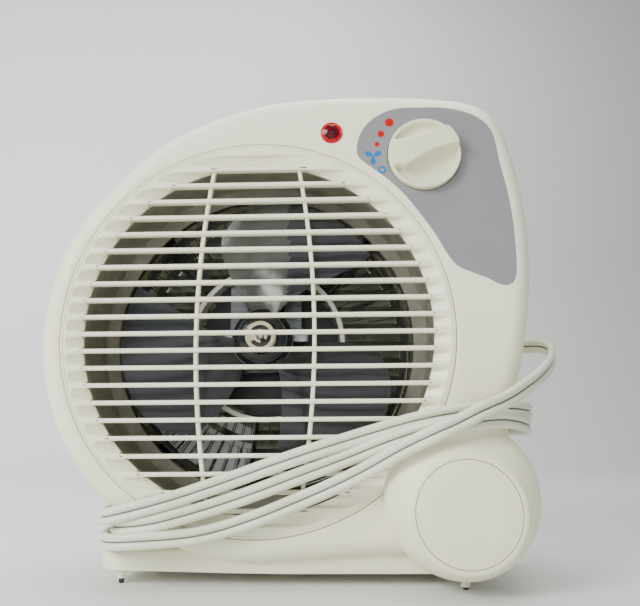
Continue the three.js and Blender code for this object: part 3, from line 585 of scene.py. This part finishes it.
# %% The outline
BODY_R, DEPTH, PARTING, EDGE_R = 117.5, 96.0, 50.0, 10.0
DRUM_X, DRUM_Z = 103.2, -84.8
KNOB_X, KNOB_Z, KNOB_HOLE = 91.2, 97.0, 20.3
FACE_HOLE, INTAKE_HOLE, RIM_SIDES = 105.9, 88.7, 256


def through(points, step):
    """Points on a smooth flat curve through the given ones."""
    return [(p.x, p.y) for p in spaced_curve([(x, z, 0) for x, z in points], step)]


def arc(x, z, r, start, end, step=1.5):
    return sweep(x, z, r, start, end, max(3, round(math.radians(abs(end - start)) * r / step)))


def even(outline, count):
    """The closed outline with its points spaced evenly."""
    ends = [*outline[1:], outline[0]]
    lengths = [math.dist(a, b) for a, b in zip(outline, ends)]
    total, made, i, passed = sum(lengths), [], 0, 0.0
    for k in range(count):
        goal = total * k / count
        while passed + lengths[i] < goal:
            passed += lengths[i]
            i += 1
        share = (goal - passed) / lengths[i] if lengths[i] else 0
        (ax, az), (bx, bz) = outline[i], ends[i]
        made.append((ax + (bx - ax) * share, az + (bz - az) * share))
    return made


def eased(outline, rounds):
    """Each point drawn a little towards its neighbours, to take kinks out."""
    for _ in range(rounds):
        outline = [((a[0] + 2 * b[0] + c[0]) / 4, (a[1] + 2 * b[1] + c[1]) / 4)
                   for a, b, c in zip([outline[-1], *outline], outline, [*outline[1:], outline[0]])]
    return outline


def body_outline():
    """Bottom, corner, right side and shoulder, and the big circle on the left, as one even loop."""
    right_side = through([
        (131.2, -62), (131.4, -52), (132.4, -38), (137.4, -25), (142.5, -3), (146, 20), (147.2, 42),
        (145.6, 72), (141.5, 95), (136.5, 113), (130.5, 123.5), (119, 130), (98, 133.6), (60, 135.2),
        (26, 134.4), (-4.6, 130), (-48.3, 113), (-69, 97), (-90, 75.5)], 1.5)
    lower = through([(0, -BODY_R), (30, -115.6), (60, -114), (DRUM_X, DRUM_Z - 28)], 1.5)
    corner = arc(DRUM_X, DRUM_Z, 28, -88, -3)
    outline = lower[:-1] + corner + right_side + arc(0, 0, BODY_R, 141, 268)
    return eased(even(outline, 640), 6)


OUTLINE = body_outline()
width = max(x for x, _ in OUTLINE) - min(x for x, _ in OUTLINE)
print("Outline of", len(OUTLINE), "points,", round(width, 1), "mm wide")

# %% [markdown]
# ## The two shells
# The front face is a flat sheet with a round hole, filled with small triangles so that it can step
# back at the neck. Its rim rolls over the edge and runs back to the parting line. The rear shell is
# the same outline with a wide intake hole.

# %% Neck and face
def set_back(x, z):
    """How far the face lies behind the front plane: the neck below the shoulder is 3.5 mm deeper."""
    below = (x - 137) * 0.52 - (z + 26)
    return 3.5 * smooth(below / 7) * smooth((x - 76) / 40)


def inside(x, z, outline):
    """Whether a point lies within a closed outline."""
    hit = False
    for (ax, az), (bx, bz) in zip(outline, [*outline[1:], outline[0]]):
        if (az > z) != (bz > z) and x < ax + (z - az) / (bz - az) * (bx - ax):
            hit = not hit
    return hit


def face_sheet(edge, holes, y_of, pitch=4.0):
    """Flat triangles between an edge loop and round holes, set to the depth that y_of gives."""
    rims = [[(x, z) for x, _, z in circle(r, 0, cx, cz, RIM_SIDES)] for cx, cz, r in holes]
    margin = offset(edge, 2.0)
    xs = [x for x, _ in edge]
    zs = [z for _, z in edge]
    grid = []
    for i in range(int(min(xs) // pitch), int(max(xs) // pitch) + 1):
        for k in range(int(min(zs) // pitch), int(max(zs) // pitch) + 1):
            x, z = i * pitch, k * pitch
            clear = all(math.hypot(x - cx, z - cz) > r + 2 for cx, cz, r in holes)
            if clear and inside(x, z, margin[::6]):
                grid.append((x, z))
    flat = [Vector(p) for p in [*edge, *sum(rims, []), *grid]]
    loops = []
    for k in range(len(rims)):
        start = len(edge) + k * RIM_SIDES
        loops += [(start + i, start + (i + 1) % RIM_SIDES) for i in range(RIM_SIDES)]
    points, _, faces, *_ = delaunay_2d_cdt(flat, loops, [list(range(len(edge)))], 1, 1e-4)
    kept = []
    for face in faces:
        x, z = (sum(points[i][axis] for i in face) / 3 for axis in (0, 1))
        if all(math.hypot(x - cx, z - cz) > r for cx, cz, r in holes):
            kept.append(tuple(face))
    return [(p.x, y_of(p.x, p.y), p.y) for p in points], kept


def rolled(levels, neck=1.0):
    """Rings of the outline from (inset, depth) pairs. Near the face they step back at the neck."""
    rings = []
    for inset, y in levels:
        ring = offset(OUTLINE, inset) if inset else OUTLINE
        near = max(0.0, 1 - y / 20) * neck
        rings.append([(x, y + near * set_back(x, z), z) for x, z in ring])
    return loft(rings, capped=False)


def knob_well(front, back):
    return turned([(KNOB_HOLE, front), (KNOB_HOLE, back)], KNOB_X, KNOB_Z, RIM_SIDES, capped=False)


def front_shell():
    """The face with its two round holes, the knob's well, and the rounded side."""
    edge = offset(OUTLINE, EDGE_R)
    sheet = face_sheet(edge, [(0, 0, FACE_HOLE), (KNOB_X, KNOB_Z, KNOB_HOLE)], set_back)
    rim = [(FACE_HOLE, 0.0), (105.55, 0.1), (105.3, 0.5), (105.3, 5.0)]
    levels = [*quarter(8, EDGE_R), (0, 30)]
    levels += [(0, PARTING - 0.65), (0.25, PARTING - 0.25), (2.4, PARTING - 0.2)]
    return merged([sheet, turned(rim, sides=RIM_SIDES, capped=False), knob_well(0.0, 5.0), rolled(levels)])


def rear_shell():
    """The back wall with the intake's hole, and the rounded side."""
    sheet = face_sheet(offset(OUTLINE, EDGE_R), [(0, 0, INTAKE_HOLE)], lambda x, z: DEPTH, 12.0)
    rim = [(INTAKE_HOLE, DEPTH), (88.4, DEPTH - 0.3), (88.4, DEPTH - 6)]
    levels = [(inset, DEPTH - y) for inset, y in quarter(6, EDGE_R)]
    levels += [(0, PARTING + 0.65), (0.25, PARTING + 0.25), (2.4, PARTING + 0.2)]
    return merged([sheet, turned(rim, sides=RIM_SIDES, capped=False), rolled(levels, neck=0)])


place_piece("front_shell", front_shell(), shell_abs, "front_housing")
place_piece("rear_shell", rear_shell(), shell_abs, "rear_housing")
print("Shells made")

# %% [markdown]
# ## The louvred grille
# The grille is a dished ring with bars across it. Between two bars the ring has a pocket with a
# rounded end, so the bars seem to grow out of the ring. Two bowed ribs tie the bars together.

# %% The dished ring with its pockets
PITCH, BAR_T, OPEN_R, SEAM_R = 9.12, 2.4, 94.0, 105.0
DISH_R, POCKET_R, RING_SIDES = 102.8, 3.0, 900


def ring_depth(x, z):
    """Depth of the ring's face at a point: the dish, filled up to the front beside each bar."""
    r = math.hypot(x, z)
    outside = DISH_R - r
    dish = 4.4 * max(0.0, outside / (DISH_R - OPEN_R)) ** 1.1
    beside = abs(z - PITCH * round(z / PITCH)) - BAR_T / 2
    if beside < POCKET_R and outside < POCKET_R:
        near = POCKET_R - math.hypot(POCKET_R - beside, POCKET_R - outside)
    else:
        near = min(beside, outside)
    return dish * smooth(near / 1.4)


def dished_ring():
    """A seam and a groove at the rim, then the dish with its pockets."""
    edge = [(SEAM_R, 6.0), (SEAM_R, 1.0), (104.9, 0.35), (104.6, 0.05), (104.2, 0.0), (103.9, 0.0),
            (103.75, 0.3), (103.55, 0.5), (103.35, 0.3), (103.2, 0.0)]
    rows = [circle(r, y, sides=RING_SIDES) for r, y in edge]
    for i in range(29):
        r = 102.9 - (102.9 - OPEN_R) * i / 28
        rows.append([(x, ring_depth(x, z), z) for x, _, z in circle(r, 0, sides=RING_SIDES)])
    rows.append(circle(OPEN_R, 6.0, sides=RING_SIDES))
    return loft(rows, capped=False)


# %% The bars and the ribs
def bar(k):
    """One louvre: a rounded front edge, and sides that thin a little towards the back."""
    z = PITCH * k
    half = math.sqrt(95.0 ** 2 - z * z)
    section = [(5.2, 0.95), (0.9, 1.2), (0.35, 1.05), (0.08, 0.7), (0.0, 0.3),
               (0.0, -0.3), (0.08, -0.7), (0.35, -1.05), (0.9, -1.2), (5.2, -0.95)]
    ends = [-half, -half / 3, half / 3, half]
    return loft([[(x, y, z + up) for y, up in section] for x in ends])


def rib(side):
    """One upright rib, bowed outward at the middle and set behind the bars' fronts."""
    section = [(-1.0, 5.0), (-1.15, 2.5), (-0.8, 1.9), (0.0, 1.75), (0.8, 1.9), (1.15, 2.5), (1.0, 5.0)]
    rings = []
    for i in range(33):
        z = -91.5 + 183 * i / 32
        x = side * (31.6 - z * z / (2 * 513)) - 1.2
        rings.append([(x + across, y, z) for across, y in section])
    return loft(rings)


bars = [bar(k) for k in range(-10, 11)]
grille = merged([dished_ring(), *bars, rib(-1), rib(1)])
place_piece("louvre_grille", grille, grille_abs, "front_grille")
print("Grille with", len(bars), "bars")

# %% [markdown]
# ## Panel, knob and lamp
# The grey overlay follows the shoulder. Its marks are flat ink: three red dots that grow, a small
# fan and a ring in blue. The knob is a round cup with a tapered grip across it, made as a height
# map on a disc.

# %% The panel and its marks
def panel_outline():
    """The overlay's outline, anticlockwise, closed smoothly past both ends of the list."""
    points = [
        (54.2, 101.3), (55.2, 107), (57.5, 112.4), (62, 117.7), (67.7, 121.7), (73.3, 124), (79, 125.1),
        (90, 125.2), (101.2, 124.9), (112, 122.9), (121.5, 118.8), (127, 113.5), (129.7, 107.5),
        (132.2, 92.5), (135.6, 75.5), (137.6, 58.5), (138.2, 42), (137.8, 30), (136.2, 25.2),
        (132.6, 23.4), (128, 24.6), (123, 27.4), (113.6, 31.2), (106.8, 34.6), (101.8, 41.2),
        (96.3, 51.3), (88, 63.8), (77.6, 77.3), (66.9, 87), (58.4, 93.6), (55, 97)]
    loop = [*points[-2:], *points, *points[:3]]
    curve = through(loop, 1.0)
    start = min(range(20), key=lambda i: math.dist(curve[i], points[-1]))
    end = max(i for i in range(len(curve)) if math.dist(curve[i], points[-1]) < 0.8)
    return eased(even(curve[start:end][::-1], 300), 3)


def disc(x, z, r, y):
    return turned([(r, y), (r, y - 0.05), (r * 0.97, y - 0.06)], x, z, 32)


def fan_mark(x, z, y):
    """Three rounded blades that meet in the middle."""
    blades = []
    for turn in (150, 30, 270):
        a = math.radians(turn)
        loop = []
        for i in range(24):
            t = 2 * math.pi * i / 24
            along = 2.4 + 2.4 * math.cos(t)
            across = (1.3 + 0.6 * math.cos(t)) * math.sin(t)
            loop.append((x + along * math.cos(a) - across * math.sin(a),
                         z + along * math.sin(a) + across * math.cos(a)))
        blades.append(loft([[(px, y - lift, pz) for px, pz in loop] for lift in (0.0, 0.05)]))
    return merged(blades)


def ring_mark(x, z, y):
    return turned([(2.2, y), (2.2, y - 0.05), (1.2, y - 0.05), (1.2, y), (2.2, y)], x, z, 32, capped=False)


PANEL_Y, PANEL_BACK = -0.15, 0.9
panel_loop = panel_outline()


def panel_shape():
    """A thin sheet with a round hole that the knob stands in."""
    edge = offset(panel_loop, 0.12)
    sheet = face_sheet(edge, [(KNOB_X, KNOB_Z, KNOB_HOLE)], lambda x, z: PANEL_Y, 400.0)
    levels = ((PANEL_Y, edge), (-0.03, panel_loop), (PANEL_BACK, panel_loop))
    side = loft([[(x, y, z) for x, z in loop] for y, loop in levels], capped=False)
    return merged([sheet, side, knob_well(PANEL_Y, PANEL_BACK)])


place_piece("panel_overlay", panel_shape(), panel_ink, "control_panel")
dot_places = ((72.6, 116.6, 2.4), (67.8, 109.9, 1.85), (65.5, 103.9, 1.35))
place_piece("heat_marks", merged([disc(x, z, r, PANEL_Y) for x, z, r in dot_places]), red_ink)
place_piece("fan_mark", fan_mark(63.3, 96.9, PANEL_Y), blue_ink)
place_piece("off_mark", ring_mark(68.1, 89.0, PANEL_Y), blue_ink)
print("Panel outline of", len(panel_loop), "points")

# %% The knob
KNOB_R, KNOB_RIM, KNOB_FLOOR, KNOB_GRIP = 19.8, -4.0, -0.8, -8.0
GRIP_LOW = [(40, 8.5), (18.7, 4.5), (11, 3.1), (3.4, 0.4), (-4.6, -3.9), (-11, -8), (-16.2, -6.6), (-30, 2)]
GRIP_TOP = [(26, 20), (13.4, 14.6), (6, 11.2), (-2, 8.0), (-10, 5.6), (-17, 5.0), (-30, 6)]


def above(x, z, line):
    """Distance from a line of points that runs from right to left, positive on its upper side."""
    best, sign = 1e9, 1
    for (ax, az), (bx, bz) in zip(line, line[1:]):
        dx, dz = bx - ax, bz - az
        share = min(1.0, max(0.0, ((x - ax) * dx + (z - az) * dz) / (dx * dx + dz * dz)))
        away = math.hypot(x - ax - share * dx, z - az - share * dz)
        if away < best - 1e-9:
            best, sign = away, 1 if dx * (z - az) - dz * (x - ax) < 0 else -1
    return best * sign


def knob_depth(x, z):
    """Depth of the knob's face: a dish, and a grip that is steep below and gentle above."""
    r = math.hypot(x, z)
    rim = (KNOB_FLOOR - KNOB_RIM) * smooth((r - (KNOB_R - 2.7)) / 1.2)
    ease = 1.2 + 4.6 * smooth((10 - x) / 12)
    grip = smooth(1 + above(x, z, GRIP_LOW) / 1.5) * (1 - smooth(above(x, z, GRIP_TOP) / ease))
    end = 1 - smooth((r - (KNOB_R - 0.75)) / 0.5)
    left = 1 - smooth((-x * 0.96 - z * 0.28 - 17.2) / 1.0)
    return KNOB_FLOOR - max(rim, (KNOB_FLOOR - KNOB_GRIP - 0.25 * (r / KNOB_R) ** 2) * grip * end * left)


def knob_shape():
    sides, edge = 360, 0.6
    rings = [(KNOB_R - 0.1, 4.0), (KNOB_R, 3.6)]
    for t in (math.radians(a) for a in (0, 25, 50, 70, 90)):
        rings.append((KNOB_R - edge + edge * math.cos(t), KNOB_RIM + edge - edge * math.sin(t)))
    rings = [circle(r, y, KNOB_X, KNOB_Z, sides) for r, y in rings]
    for i in range(84):
        ring = circle((KNOB_R - 0.65) * (1 - i / 84), 0, sides=sides)
        rings.append([(KNOB_X + x, knob_depth(x, z), KNOB_Z + z) for x, _, z in ring])
    return loft(rings)


knob = place_piece("knob_skin", knob_shape(), knob_abs, "selector_knob", "knob", sharp=60)
paint("switch_shaft", turned_brass)
paint("rotary_switch", black_abs)
print("Knob with", len(knob.data.polygons), "faces")

# %% The pilot lamp
LAMP_X, LAMP_Z, LAMP_R, DISH = 40.5, 111.1, 6.1, 5.0


def lens():
    """A lens with a stepped edge and a shallow dish that is fluted near its rim."""
    edge = [(0, 4.0), (0, -0.2), (0.15, -0.6), (0.6, -0.75), (0.9, -0.6)]
    rings = [circle(LAMP_R - inset, y, LAMP_X, LAMP_Z) for inset, y in edge]
    for i in range(14):
        share = 1 - i / 14
        ring = []
        for x, _, z in circle(DISH * share, 0):
            flute = 0.12 * math.cos(8 * math.atan2(z, x)) * share ** 3
            ring.append((LAMP_X + x, -2.3 + 1.6 * share ** 2 + flute, LAMP_Z + z))
        rings.append(ring)
    return loft(rings)


lens_piece = place_piece("lens_skin", lens(), shaded_lens, "lamp_lens", sharp=30)
# Painted light: faces more than 4.3 mm from the lamp's centre take the bright red edge; the rest keep the
# painted dark core.
add_material(lens_piece, lit_lens, lambda x, y, z: math.hypot(x - LAMP_X, z - LAMP_Z) > 4.3)
paint("neon_lamp", bulb_glass)
print("Lamp at", [round(v, 4) for v in at(LAMP_X, 0, LAMP_Z)])

# %% [markdown]
# ## Duct, fan and nut
# Behind the louvres a sheet-steel duct surrounds three wide smoked blades. Each blade is a twisted
# slab, thin at its edges, whose root wraps the hub.

# %% The duct and the fan
FAN_R, HUB_R, FAN_FRONT, FAN_BACK = 82.0, 17.5, 22.0, 36.0


def duct_shape():
    """A sleeve with a flange in front, a shallow bead, and a lip that turns inward at the back."""
    profile = [(94.6, 6.4), (94.6, 12), (94.3, 13), (94.6, 14), (94.6, 41.8), (93.6, 43.0), (87.6, 43.5),
               (87.1, 44.0), (87.1, 44.7), (87.6, 44.9), (96.2, 44.9), (96.3, 9.4),
               (100, 9.4), (100, 7), (96, 6.6), (94.6, 6.4)]
    return turned(profile, sides=160, capped=False)


def blade(start):
    """One blade: rows from hub to tip, columns from edge to edge, on both faces."""
    rows, columns, thick = 22, 30, 1.3
    root, middle = HUB_R - 2, (FAN_FRONT + FAN_BACK) / 2
    sides = []
    for back in (0, 1):
        grid = []
        for i in range(rows):
            t = i / (rows - 1)
            line = []
            for j in range(columns):
                u = 2 * j / (columns - 1) - 1
                corner = 0.06 * u * u + 0.17 * max(0, -u) ** 3
                r = root + (FAN_R - root) * t * (1 - corner * t)
                spread = 29 + 10 * math.sin(math.radians(120) * t)
                angle = math.radians(u * spread - 4 + 20 * t - 6 * t * t)
                thin = max(0.08, 1 - u ** 6) * max(0.15, 1 - t ** 12)
                y = middle - (6 - 1.6 * t) * u + (0.5 + (back - 0.5) * thin) * thick + 0.9 * u * u
                a = angle + start
                line.append((r * math.cos(a), y, -r * math.sin(a)))
            grid.append(line)
        sides.append(grid)
    return loft([[*front, *reversed(back)] for front, back in zip(*sides)])


def hub_shape():
    """A stepped disc, from (radius, depth) pairs behind the fan's front."""
    profile = [(2.9, 6.6), (2.9, 0.4), (7.6, 0.2), (8.6, 0.8), (9.4, 0.2), (12.9, 1.2), (13.5, 2.0),
               (13.7, 1.5), (14.2, 1.6), (14.4, 2.6), (16.4, 4.6), (17.1, 5.4), (17.3, 5.0), (17.6, 5.6),
               (17.6, 14), (16, 14), (15, 7.4), (2.9, 6.6)]
    return turned([(r, FAN_FRONT + depth) for r, depth in profile], capped=False)


blades = [blade(math.radians(-85 + 120 * i)) for i in range(3)]
place_piece("duct_skin", duct_shape(), duct_metal, "fan_duct")
place_piece("smoked_blades", merged(blades[1:]), smoke, "fan", "fan", sharp=50)
# Painted light: the top blade takes the paler smoke; its right part, beyond 14.6 mm, keeps the plain smoke,
# as it is turned from the light.
lit_blade = place_piece("lit_blade", blades[0], lit_smoke, body="fan", sharp=50)
add_material(lit_blade, smoke, lambda x, y, z: x > 14.6)
hub = place_piece("fan_hub", hub_shape(), thick_smoke, body="fan", sharp=50)
# Painted highlight: thin rings at the hub's steps, 13.5 and 17.2 mm out, take the pale smoke as if lit.
add_material(hub, highlight_smoke, lambda x, y, z: min(abs(math.hypot(x, z) - r) for r in (13.5, 17.2)) < 0.3)
print("Fan of three blades")

# %% The nut on the hub
NUT_FACE, RECESS_R = FAN_FRONT - 7, 6.1


def nut_boss(x, z):
    """1 on the boss, the hook that joins it to the rim, and the shaft's end, and 0 in the recess."""
    r, turn = math.hypot(x, z), math.degrees(math.atan2(z, x)) % 360
    gap = smooth((abs((turn - 300 + 180) % 360 - 180) - 24) / 8)
    boss = smooth((4.0 - r) / 0.3) * smooth((r - 1.9) / 0.3) * gap
    hook = smooth((26 - abs(turn - 190)) / 8) * smooth((r - 3) / 0.4)
    return max(boss, hook, 0.8 * smooth((1.7 - r) / 0.2))


def nut_shape():
    """A moulded cap: a rim, a ring-shaped recess, and a hooked boss round the shaft's end."""
    rim = [(8.4, FAN_FRONT - 0.3), (8.4, NUT_FACE + 0.8), (8.1, NUT_FACE + 0.2), (7.8, NUT_FACE),
           (6.5, NUT_FACE), (RECESS_R, NUT_FACE + 0.3)]
    rings = [circle(r, y) for r, y in rim]
    for i in range(39):
        ring = circle(6.0 - 0.15 * i, 0)
        rings.append([(x, NUT_FACE + 2.9 - 2.5 * nut_boss(x, z), z) for x, _, z in ring])
    return loft(rings)


def in_recess(x, y, z):
    """Whether a point of the nut lies in its recess, whose floor is painted dark."""
    return math.hypot(x, z) < RECESS_R and nut_boss(x, z) < 0.5 and y < FAN_FRONT - 2


nut = place_piece("nut_skin", nut_shape(), nut_nylon, "fan_nut", "fan", sharp=30)
# Painted shade, in part: the recess floor takes the dark smoke, for the shade in the recess and for the dark
# hub that shows through the real nut's openings.
add_material(nut, thick_smoke, in_recess)
add_material(nut, plated_steel, lambda x, y, z: y < FAN_FRONT - 3 and math.hypot(x, z) < 1.8)
print("Nut with", len(nut.data.polygons), "faces")

# %% [markdown]
# ## The heating element and the motor
# Two white mica rings hold radial mica boards, and a slotted mica disc stands behind them. Fine
# resistance wire runs in long hairpins from the inner ring to the outer one. Behind the element are
# the motor's steel stack, its coil and the arms that carry everything.

# %% Mica boards and wires
ELEMENT_IN, ELEMENT_OUT = 44.0, 84.0


def mica_ring(r, front, back, lip=0.8):
    """A hoop of thin board, its front edge folded to a flat lip."""
    profile = [(r, front), (r + lip, front), (r + lip, front + 0.8), (r + 0.8, front + 0.9),
               (r + 0.8, back), (r, back), (r, front)]
    return turned(profile, sides=120, capped=False)


def polar_box(angle, r0, r1, y0, y1, half):
    """A flat board on edge or on its face, lying along a radius."""
    a = math.radians(angle)
    out, across = (math.cos(a), math.sin(a)), (-math.sin(a), math.cos(a))

    def corner(r, w, y):
        return (r * out[0] + w * across[0], y, r * out[1] + w * across[1])

    section = ((-half, y0), (half, y0), (half, y1), (-half, y1))
    return loft([[corner(r, w, y) for w, y in section] for r in (r0, r1)])


def slotted_sector(start, end, step, slot, r0, r1, y):
    """A flat mica sector cut by radial slots into strips."""
    strips = []
    angle = start
    while angle + step <= end + 0.01:
        last = angle + step - slot
        loop = sweep(0, 0, r0, angle, last, 2) + sweep(0, 0, r1, last, angle, 2)
        strips.append(loft([[(x, level, z) for x, z in loop] for level in (y, y + 0.8)]))
        angle += step
    return strips


def mica_shape():
    boards = [polar_box(22.5 + 60 * i, ELEMENT_IN + 0.4, ELEMENT_OUT - 0.4, 48, 66, 0.4) for i in range(6)]
    sectors = slotted_sector(196, 262, 5.5, 0.9, 60, 83, 59.6)
    sectors += slotted_sector(196, 262, 66, 0, 52, 58.4, 59.6)
    rings = [mica_ring(ELEMENT_IN, 48, 61, 2.6), mica_ring(ELEMENT_OUT - 0.8, 48, 61)]
    return merged([*rings, *boards, *sectors])


def hairpins(r0, r1, turns, y_in, y_out, wire_r=0.32):
    """Wire that runs out and back along radii, all the way round, as one thin square tube."""
    path = []
    for i in range(turns):
        for half, (first, last) in ((0.38, (r0, r1)), (0.62, (r1, r0))):
            a = 2 * math.pi * (i + half) / turns
            for r in (first, (first + last) / 2, last):
                share = (r - r0) / (r1 - r0)
                sag = 0.9 * math.sin(math.pi * share) * (1 if half < 0.5 else -1)
                y = y_in + (y_out - y_in) * share + sag
                path.append(Vector((r * math.cos(a), y, r * math.sin(a))))
    rings = []
    for i, place in enumerate(path):
        ahead = (path[(i + 1) % len(path)] - path[i - 1]).normalized()
        wide = Vector((0, 1, 0)).cross(ahead).normalized() * wire_r
        deep = ahead.cross(wide)
        turns = (0.3, 1.87, 3.44, 5.01)
        rings.append([tuple(place + wide * math.cos(a) + deep * math.sin(a)) for a in turns])
    return loft(rings)


mica = place_piece("mica_boards", mica_shape(), mica_board, "mica_frame")
# Painted light: the inner hoop, within 47 mm of the axis, takes a brighter copy of the board's white.
add_material(mica, lit_mica, lambda x, y, z: math.hypot(x, z) < ELEMENT_IN + 3)
# Painted shade: board and hoop faces in front of 58 mm depth, away from the inner hoop, take a near-black
# copy.
add_material(mica, shaded_mica, lambda x, y, z: y < 58 and math.hypot(x, z) >= ELEMENT_IN + 3)
inner, outer = hairpins(48.5, 59.5, 60, 51, 53), hairpins(63, 81.5, 74, 54.5, 56)
place_piece("inner_winding", inner, nichrome, "heating_wire_inner")
place_piece("outer_winding", outer, nichrome, "heating_wire_outer")
print("Element made")

# %% The motor and what carries it
INNER = (
    (plated_steel, "motor_shaft front_bearing_bracket rear_bearing_bracket motor_screw_left "
                   "motor_screw_right thermal_fuse housing_screw_1 housing_screw_2 housing_screw_3 "
                   "housing_screw_4"),
    (lamination_steel, "motor_rotor motor_stator"),
    (copper, "motor_coil"),
    # The mounting plate's black is partly painted shade for the dark inside behind the hub.
    (black_enamel_shade, "motor_mount"),
    (turned_brass, "front_bush rear_bush"),
    (black_abs, "thermal_cutout terminal_block tip_switch tip_plunger"),
)
for material, names in INNER:
    for node in names.split():
        paint(node, material)
print("Inner metal painted")

# %% [markdown]
# ## Back grille
# The intake on the back has wide sloping slats in a rim, with two uprights behind them. The sides
# that face the fan carry painted shade, a dark grey-green, as they lie in shade inside the body.

# %% The intake
def intake_shape():
    """The rim, sloping slats that end on one circle, and two uprights."""
    back = DEPTH
    rim = [(83, back - 5), (88, back - 5), (88, back - 0.6), (87.4, back), (83.6, back), (83, back - 0.6),
           (83, back - 5)]
    section = [(5.7, -6.4), (5.2, -6.6), (-5.8, -1.1), (-5.7, -0.6), (-5.2, -0.6), (5.7, -5.9)]
    slats = []
    for z in (11.4 * k for k in range(-7, 8)):
        reach = [math.sqrt(86.6 ** 2 - (z + up) ** 2) for up, _ in section]
        ends = [[(side * x, back + y, z + up) for x, (up, y) in zip(reach, section)] for side in (-1, 0, 1)]
        slats.append(loft(ends))
    for x in (-30, 30):
        half = math.sqrt(85 ** 2 - x * x)
        slats.append(block((x - 2, back - 5, -half), (x + 2, back - 1.2, half), 0.5))
    return merged([turned(rim, sides=160, capped=False), *slats])


intake = place_piece("intake_grille", intake_shape(), grille_abs, "rear_grille")
intake.data.materials.append(fan_side_shade_abs)
# Painted shade: faces turned towards the fan, inside the body, take the dark grey-green.
for polygon in intake.data.polygons:
    if polygon.normal.y < -0.3:
        polygon.material_index = 1
print("Intake made")

# %% [markdown]
# ## Base, drum and feet
# The base is a low bar with rounded corners, and a knuckle that carries the round drum. The drum's
# face slopes back above its cap. Each foot is a post with a small dark rubber tip.

# %% The base bar
LEFT, TOP, BOTTOM, BASE_FRONT, BASE_BACK, KNUCKLE_R = -84.0, -110.8, -123.2, 9.0, 108.0, 37.6
FLOOR = -129.0
FOOT_PLACES = {"foot_front_left": (-72, 18, -126.5), "foot_front_right": (104.6, 3, -127.7),
               "foot_rear_left": (-72, 100, -126.5), "foot_rear_right": (104.6, 100, -126.5)}


def base_outline(inset):
    """The bar seen from above, with round left corners, running under the drum on the right."""
    x0, y0, x1, y1, r = LEFT + inset, BASE_FRONT + inset, DRUM_X + 8, BASE_BACK - inset, 16 - inset
    back = [(x1, y0), (x1, y1), *[(x, y1) for x in range(100, -61, -10)]]
    corners = sweep(x0 + r, y1 - r, r, 90, 180, 15) + sweep(x0 + r, y0 + r, r, 180, 270, 15)
    return [*back, *corners, *[(x, y0) for x in range(-60, 101, 10)]]


def lifted(levels):
    """Rings of the bar's outline from (inset, height) pairs, its underside rising to the left."""
    rings = []
    for inset, z in levels:
        low = smooth((TOP - z) / (TOP - BOTTOM))
        rings.append([(x, y, z + 1.8 * low * smooth((20 - x) / 104)) for x, y in base_outline(inset)])
    return rings


def base_shape():
    """The bar, open to a cover below, and the knuckle behind the drum."""
    levels = [(inset, TOP - drop) for inset, drop in quarter(6, 3.0)]
    levels += [(0, BOTTOM + 0.8), (0.3, BOTTOM + 0.2), (0.9, BOTTOM), (2.4, BOTTOM), (2.4, -121.0)]
    knuckle = [(KNUCKLE_R, BASE_FRONT + 1), (KNUCKLE_R, 85)]
    knuckle = [(KNUCKLE_R - 1, BASE_FRONT), *knuckle, (KNUCKLE_R - 1, 86)]
    return merged([loft(lifted(levels)), turned(knuckle, DRUM_X, DRUM_Z, 128)])


def foot_post(name):
    """The plastic post of a foot, down to its rubber tip."""
    x, y, low = FOOT_PLACES[name]
    return post([(2.5, -119.5), (2.5, low + 0.3), (2.2, low)], x, y)


def foot_tip(x, y, low):
    top = low - 0.15
    return post([(1.5, top), (1.45, (top + FLOOR) / 2), (1.3, FLOOR + 0.2), (1.1, FLOOR)], x, y)


def gusset():
    """A small web that stiffens the left front foot."""
    return loft([[(-70.5, y, -121), (-60.5, y, -121), (-70.5, y, -126)] for y in (17.2, 18.8)])


cover_levels = [(3.0, -121.3), (2.7, -121.6), (2.7, -122.9), (3.0, -123.1)]
base_feet = [foot_post(name) for name in FOOT_PLACES if name != "foot_front_right"]
base_parts = merged([base_shape(), gusset(), *base_feet])
place_piece("base_skin", base_parts, shell_abs, "base")
place_piece("cover_skin", loft(lifted(cover_levels)), shell_abs, "base_cover")
for name, (x, y, low) in FOOT_PLACES.items():
    place_piece(name + "_tip", foot_tip(x, y, low), foot_rubber, name)
print("Base on", len(FOOT_PLACES), "feet")

# %% The drum and its cap
DRUM_RINGS = [
    (38.4, -5, 0), (38.3, -7, -0.1), (37.8, -9, -0.4), (36.6, -12, -1.1), (35, -15, -2), (33.2, -17.7, -3.2),
    (31.5, -20, -4.0), (30.0, -22.0, -4.5), (28.6, -23.6, -4.9), (27.8, -24.5, -5.1), (27, -25, -5.2),
    (26.2, -25.2, -5.2),
]
CAP_Z = DRUM_Z - 5.2


def drum_shape():
    """Rings of (radius, depth, drop), then the recess that the cap sits in."""
    rings = [circle(38.4, 8.6, DRUM_X, DRUM_Z, 160)]
    for r, y, drop in spaced_curve(DRUM_RINGS, 0.9):
        rings.append(circle(r, y, DRUM_X, DRUM_Z + drop, 160))
    for r, y in ((25.35, -25.25), (25.12, -25.0), (25.1, -24.4), (25.1, -22)):
        rings.append(circle(r, y, DRUM_X, CAP_Z, 160))
    return loft(rings)


def cap_shape():
    profile = [(24.85, -22), (24.85, -24.9), (24.7, -25.3), (24.4, -25.5), (23.9, -25.55), (23.7, -25.48),
               (23.5, -25.55), (16, -25.75), (8, -25.85), (1, -25.9)]
    return turned(profile, DRUM_X, CAP_Z, 160)


drum_parts = merged([drum_shape(), foot_post("foot_front_right")])
place_piece("drum_skin", drum_parts, shell_abs, "drum")
place_piece("drum_cap_skin", cap_shape(), shell_abs, "drum_cap", sharp=50)
print("Drum", round(2 * DRUM_RINGS[0][0], 1), "mm across")
